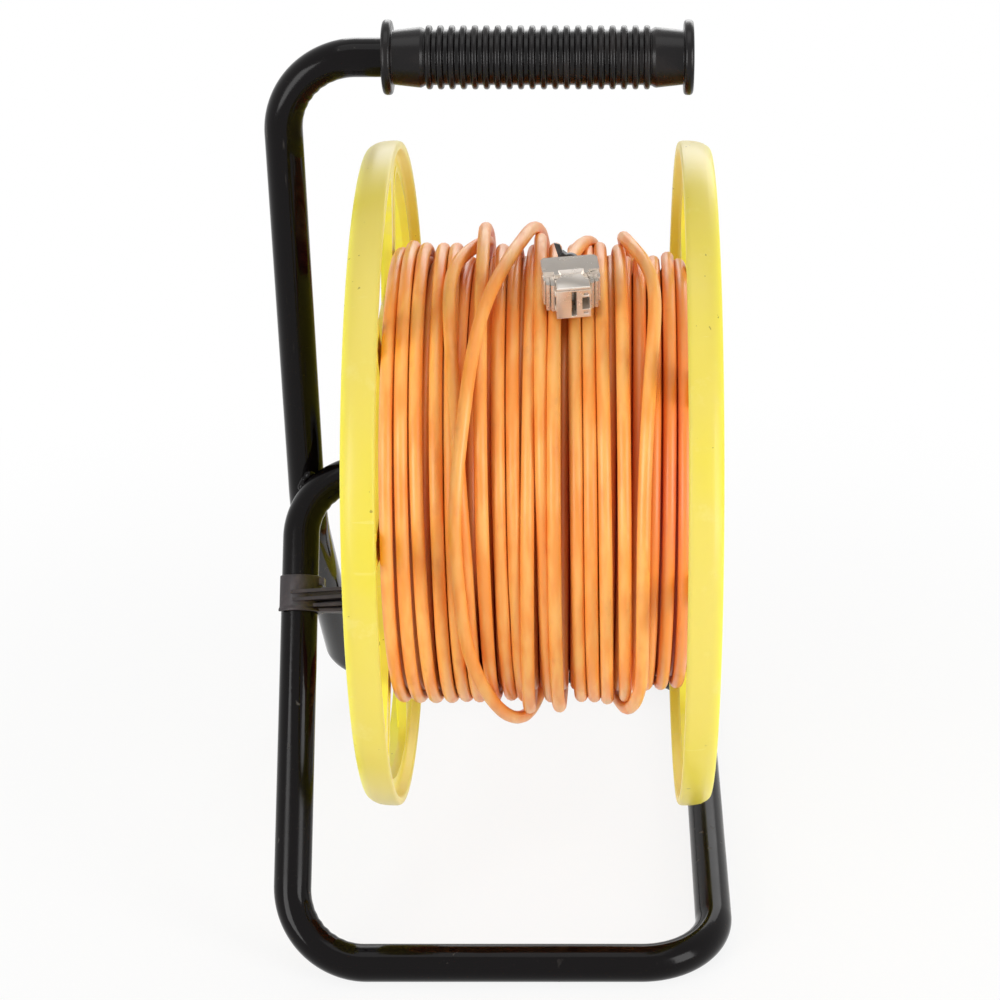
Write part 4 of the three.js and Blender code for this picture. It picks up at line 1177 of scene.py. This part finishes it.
housing = block(jack_place, (-HOUSING_HALF, front, 0), (HOUSING_HALF, back, HOUSING_H))
for x0, x1, z0, z1, depth in (
    (-1.0, 1.2, 1.0, 14.4, 11.0),  # deep slot
    (3.7, 6.9, 4.4, 11.0, 11.0),  # square hole of the latch
    (4.4, 6.2, 12.2, 13.4, 1.2),
    (4.4, 6.2, 1.9, 3.1, 1.2),
):
    carve(housing, block(jack_place, (x0, front - 1, z0), (x1, front + depth, z1)))
for side in (-1, 1):
    for level in (3.2, 11.2):
        low = (side * HOUSING_HALF - 0.5, front + 1.2, level)
        high = (side * HOUSING_HALF + 0.5, back - 8, level + 1.2)
        rib = block(jack_place, low, high)
        carve(housing, rib, way="UNION")
soften(housing, 0.35)
finished(housing, "jack_casting", "drum", "jack_metal", "jack_housing", smooth=30)

# %% [markdown]
# Eight gold wires lie side by side in the port's deep slot, and each is a thin
# softened strip.

# %% Contacts
CONTACTS, CONTACT_PITCH, CONTACT_HALF = 8, 1.5, 0.3
contacts = []
for index in range(CONTACTS):
    z = HOUSING_H / 2 + (index - (CONTACTS - 1) / 2) * CONTACT_PITCH
    low = (-1.4, front + 2.4, z - CONTACT_HALF)
    high = (-0.5, front + 9, z + CONTACT_HALF)
    contacts.append(block(jack_place, low, high))
contact_bank = soften(together(contacts), 0.12)
finished(contact_bank, "jack_contact_wires", "drum", "gold_contact", "jack_contacts", smooth=30)

# %% Cover with stepped flanks
COVER_HALF, COVER_FRONT, COVER_T = 12.4, -4.6, 2.4
LIP_HALF, LIP_REACH, FLANK_IN = 7.6, 2.2, 7.9
crown_low, crown_high = HOUSING_H + 0.15, HOUSING_H + 0.15 + COVER_T
crown = [
    (-COVER_HALF, COVER_FRONT, 0.4),
    (-LIP_HALF, COVER_FRONT, 0.3),
    (-LIP_HALF, COVER_FRONT - LIP_REACH, 0.4),
    (LIP_HALF, COVER_FRONT - LIP_REACH, 0.4),
    (LIP_HALF, COVER_FRONT, 0.3),
    (COVER_HALF, COVER_FRONT, 0.4),
    (COVER_HALF, JACK_REAR - 1.4, 0.3),
    (COVER_HALF - 1.4, JACK_REAR, 0.3),
    (1.4 - COVER_HALF, JACK_REAR, 0.3),
    (-COVER_HALF, JACK_REAR - 1.4, 0.3),
]
FLANK_RIBS = [  # near and far side, how far forward, bottom and top
    (7.6, 9.4, -11.4, 1.2, 15.6),
    (9.6, 11.4, -10.2, 0.8, 15.2),
    (11.5, 12.4, -8.6, 3.0, 16.2),
]


def notch_cutter():
    """A blunt pyramid standing on its small end, which cuts sloped faces."""
    bpy.ops.object.select_all(action="DESELECT")
    bpy.ops.mesh.primitive_cone_add(vertices=4, radius1=4.9 * mm, radius2=8.2 * mm, depth=3.4 * mm)
    cutter = bpy.context.active_object
    spot = Matrix.Translation((0, -9.2 * mm, (crown_low + crown_high) / 2 * mm))
    cutter.matrix_world = jack_place @ spot @ Matrix.Rotation(math.pi / 4, 4, "Z")
    return cutter


cover = prism(jack_place, crown, crown_low, crown_high)
carve(cover, notch_cutter())
for side in (-1, 1):
    x0, x1 = sorted((side * FLANK_IN, side * COVER_HALF))
    carve(cover, block(jack_place, (x0, -5.2, 2.2), (x1, JACK_REAR - 4.2, crown_low + 0.8)), way="UNION")
    for near, far_side, reach, low, high in FLANK_RIBS:
        x0, x1 = sorted((side * near, side * far_side))
        bend = min(0.8, (x1 - x0) / 2.2)
        outline = [(x0, reach, bend), (x1, reach, bend), (x1, -4, 0), (x0, -4, 0)]
        carve(cover, prism(jack_place, outline, low, high), way="UNION")
soften(cover, 0.3)
finished(cover, "jack_cover", "drum", "jack_metal", "jack_saddle", smooth=30)

# %% Latch plate
LATCH_HALF, LATCH_TIP, LATCH_BEND = 7.3, 3.9, 5.0
plate_low, plate_high = HOUSING_H + 0.15, HOUSING_H + 1.5
latch_outline = [
    (-LATCH_TIP, COVER_FRONT - 0.7, 0.3),
    (LATCH_TIP, COVER_FRONT - 0.7, 0.3),
    (LATCH_HALF, COVER_FRONT - LATCH_BEND, 0.5),
    (LATCH_HALF, JACK_MOUTH + 0.2, 0.3),
    (-LATCH_HALF, JACK_MOUTH + 0.2, 0.3),
    (-LATCH_HALF, COVER_FRONT - LATCH_BEND, 0.5),
]
latch = prism(jack_place, latch_outline, plate_low, plate_high)
soften(latch, 0.55, segments=3)
finished(latch, "jack_latch_plate", "drum", "jack_metal", "jack_latch", smooth=30)

# %% [markdown]
# ## The cable tie
# A black nylon tie holds the cable behind the jack. Its band is spun round the
# cable's own direction and turned so that its head, a small softened block, sits on
# the left. The tail stands up from the head and ends in a slanted cut.

# %% Tie
TIE_STEPS_BACK = 3  # steps of the cable between the jack and the tie
TIE_TURN, TAIL_LEAN = math.radians(55), math.radians(35)
TIE_IN, TIE_OUT, TIE_HALF = 3.05, 4.15, 1.4
TAIL_T_HALF = 0.55
tie_spot = course[-1 - TIE_STEPS_BACK]
tie_way = (course[-TIE_STEPS_BACK] - course[-2 - TIE_STEPS_BACK]).normalized()
tie_side = tie_way.cross(Vector((0, 0, 1))).normalized()
tie_place = Matrix((tie_way, tie_side, tie_way.cross(tie_side))).transposed().to_4x4()
tie_place.translation = tie_spot
if (tie_place.to_3x3() @ Vector((0, 0, 1))).z < 0:
    tie_place = tie_place @ Matrix.Rotation(math.pi, 4, "X")
tie_place = tie_place @ Matrix.Rotation(TIE_TURN, 4, "X")

section = [
    (-TIE_HALF, TIE_IN, 0.2),
    (-TIE_HALF, TIE_OUT, 0.3),
    (TIE_HALF, TIE_OUT, 0.3),
    (TIE_HALF, TIE_IN, 0.2),
]
band = lathe(section, Vector(), 48, 3)
band.matrix_world = tie_place
alone(band)
bpy.ops.object.transform_apply(location=True, rotation=True, scale=True)
carve(band, block(tie_place, (-1.9, -2.2, 3.4), (1.9, 2.2, 5.8)), way="UNION")
quarter = math.pi / 2
tail_place = tie_place @ Matrix.Translation((0, 0, 5 * mm)) @ Matrix.Rotation(quarter, 4, "Z")
tail_place = tail_place @ Matrix.Rotation(TAIL_LEAN, 4, "Y")
tail_outline = [(-1.25, 0), (1.25, 0), (1.2, 5.2), (-1.0, 6.6)]
standing = tail_place @ Matrix.Rotation(quarter, 4, "X")
carve(band, prism(standing, tail_outline, -TAIL_T_HALF, TAIL_T_HALF), way="UNION")
soften(band, 0.2)
finished(band, "tie_round_cable", "drum", "tie_plastic", "cable_tie", smooth=30)

# %% [markdown]
# ## The brake clip
# A stiff plastic clip is snapped round the front leg. Its arm reaches to the flange
# and carries a pad that rubs on the friction ring. The open band is a rounded
# section spun part of a turn about the leg, and the arm is a beam with thin ribs that
# fan out towards the pad. All of it is one moulding, so the parts are fused.

# %% Clip
CLIP_FROM_AXLE = 58
leg_top, leg_foot = Vector(tube_corners[-2]), Vector(tube_corners[-3])
leg_way = (leg_top - leg_foot).normalized()
leg_lean = math.atan2(leg_way.z, leg_way.y)
clip_place = Matrix.Translation(leg_top - leg_way * CLIP_FROM_AXLE * mm) @ Matrix.Rotation(leg_lean, 4, "X")
BAND_IN, BAND_OUT, BAND_HALF = 8.8, 10.4, 8.5
BAND_START, BAND_WRAP = math.radians(-56), math.radians(250)
ARM_END = 31.9
BEAM_FROM, PLATE_FROM, PLATE_T = 0.5, 7.6, 2.2
PAD_HOLDER, PAD_HOLDER_R = (30.6, 33.2), 7.0
CLIP_RIBS = [  # where it starts, height at band and at pad, reach
    (-3.0, 0.0, 2.1, 11.3),
    (-2.0, -3.6, -1.2, 11.1),
    (0.5, -6.0, -4.6, 7.6),
    (0.5, -7.6, -7.6, 5.2),
]


def clip_band():
    """A rounded section with a flared lower lip, spun about the leg."""
    section = [
        (BAND_IN, -BAND_HALF, 0.3),
        (BAND_OUT + 0.5, -BAND_HALF, 0.4),
        (BAND_OUT + 0.5, -BAND_HALF + 1.1, 0.4),
        (BAND_OUT, -BAND_HALF + 1.9, 0.5),
        (BAND_OUT, BAND_HALF - 0.2, 0.6),
        (BAND_IN, BAND_HALF, 0.3),
    ]
    start = clip_place @ Matrix.Rotation(BAND_START, 4, "Y")
    band = wire(section, lambda r, y: start @ (Vector((0, y, r)) * mm), 3)
    with editing(band):
        up_leg = clip_place.to_3x3() @ Vector((0, 1, 0))
        bpy.ops.mesh.spin(steps=48, angle=-BAND_WRAP, center=clip_place.translation, axis=up_leg)
        bpy.ops.mesh.select_all(action="SELECT")
        bpy.ops.mesh.fill_holes(sides=0)
        close_up()
    return band


clip = clip_band()
beam = [(BEAM_FROM, -3.6), (ARM_END, -1.2), (ARM_END, 2.1), (BEAM_FROM, 0)]
web_plate = [(PLATE_FROM, -BAND_HALF), (ARM_END, -BAND_HALF), (ARM_END, 3.0), (PLATE_FROM, 3.0)]
arm = [prism(clip_place, web_plate, 0, PLATE_T), prism(clip_place, beam, 1, 9.0)]
for begin, at_band, at_pad, reach in CLIP_RIBS:
    edges = (begin, at_band - 0.8), (ARM_END, at_pad - 0.8), (ARM_END, at_pad + 0.8), (begin, at_band + 0.8)
    arm.append(prism(clip_place, edges, 1.2, reach))
arm.append(block(clip_place, (8.0, 4.2, -3.0), (11.6, 7.6, 4.8)))
for piece in arm:
    carve(clip, piece, way="UNION")
pad_middle = clip_place @ (Vector((0, -1, 4)) * mm)
near, deep = PAD_HOLDER
holder = [(near, 0), (near, PAD_HOLDER_R, 0.5), (deep, PAD_HOLDER_R, 0.5), (deep, 0)]
carve(clip, lathe(holder, pad_middle, 48), way="UNION")
bpy.ops.object.select_all(action="DESELECT")
bpy.ops.mesh.primitive_cylinder_add(vertices=64, radius=(BAND_IN - 0.05) * mm, depth=0.05)
bore = bpy.context.active_object
bore.matrix_world = clip_place @ Matrix.Rotation(math.pi / 2, 4, "X")
carve(clip, bore)
soften(clip, 0.3)
finished(clip, "brake_clip_moulding", "frame", "clamp_plastic", "brake_clip", smooth=30)

PAD_BACK, PAD_FACE, PAD_R = 33.5, 37.5, 6.6
pad_corners = [
    (PAD_BACK, 0),
    (PAD_BACK, PAD_R, 0.4),
    (PAD_FACE - 0.8, PAD_R, 0.5),
    (PAD_FACE, PAD_R - 1.0, 0.6),
    (PAD_FACE, 2.2, 0.3),
    (PAD_FACE - 0.6, 1.8, 0.3),
    (PAD_FACE - 0.6, 0),
]
pad = lathe(pad_corners, pad_middle, 48)
finished(pad, "brake_pad_disc", "frame", "brake_rubber", "brake_pad")

# %% [markdown]
# ## Floor
# The floor is a plain white plane. What the camera, a reflection or a clear piece
# sees of it is mostly white light, so the surround looks endless, but near the reel
# a share of the real surface shows through and keeps a soft shadow.

# %% Floor
bpy.ops.object.select_all(action="DESELECT")
bpy.ops.mesh.primitive_plane_add(size=14)
floor = bpy.context.active_object
floor.name = "studio_floor"
floor_paint = Paint("studio_floor_white", base_color=rgb(248, 248, 248), roughness=0.8)
light_path = floor_paint.add("ShaderNodeLightPath").socket.node
seen = Signal(floor_paint, light_path.outputs["Is Camera Ray"])
for kind in ("Is Glossy Ray", "Is Transmission Ray"):
    seen = seen.math("MAXIMUM", seen, Signal(floor_paint, light_path.outputs[kind]))
far = floor_paint.add("ShaderNodeVectorMath", {"operation": "LENGTH"}, {0: floor_paint.place}, output="Value")
white = floor_paint.add("ShaderNodeEmission", None, {"Color": (1, 1, 1, 1), "Strength": 1.0})
surface = Signal(floor_paint, floor_paint.shader.outputs[0])
share = seen * (far.over(0.22, 0.6) * 0.14 + 0.86)
mixed = floor_paint.add("ShaderNodeMixShader", None, {0: share, 1: surface, 2: white})
output = floor_paint.tree.nodes["Material Output"]
floor_paint.tree.links.new(mixed.socket, output.inputs["Surface"])
floor.data.materials.append(floor_paint.material)
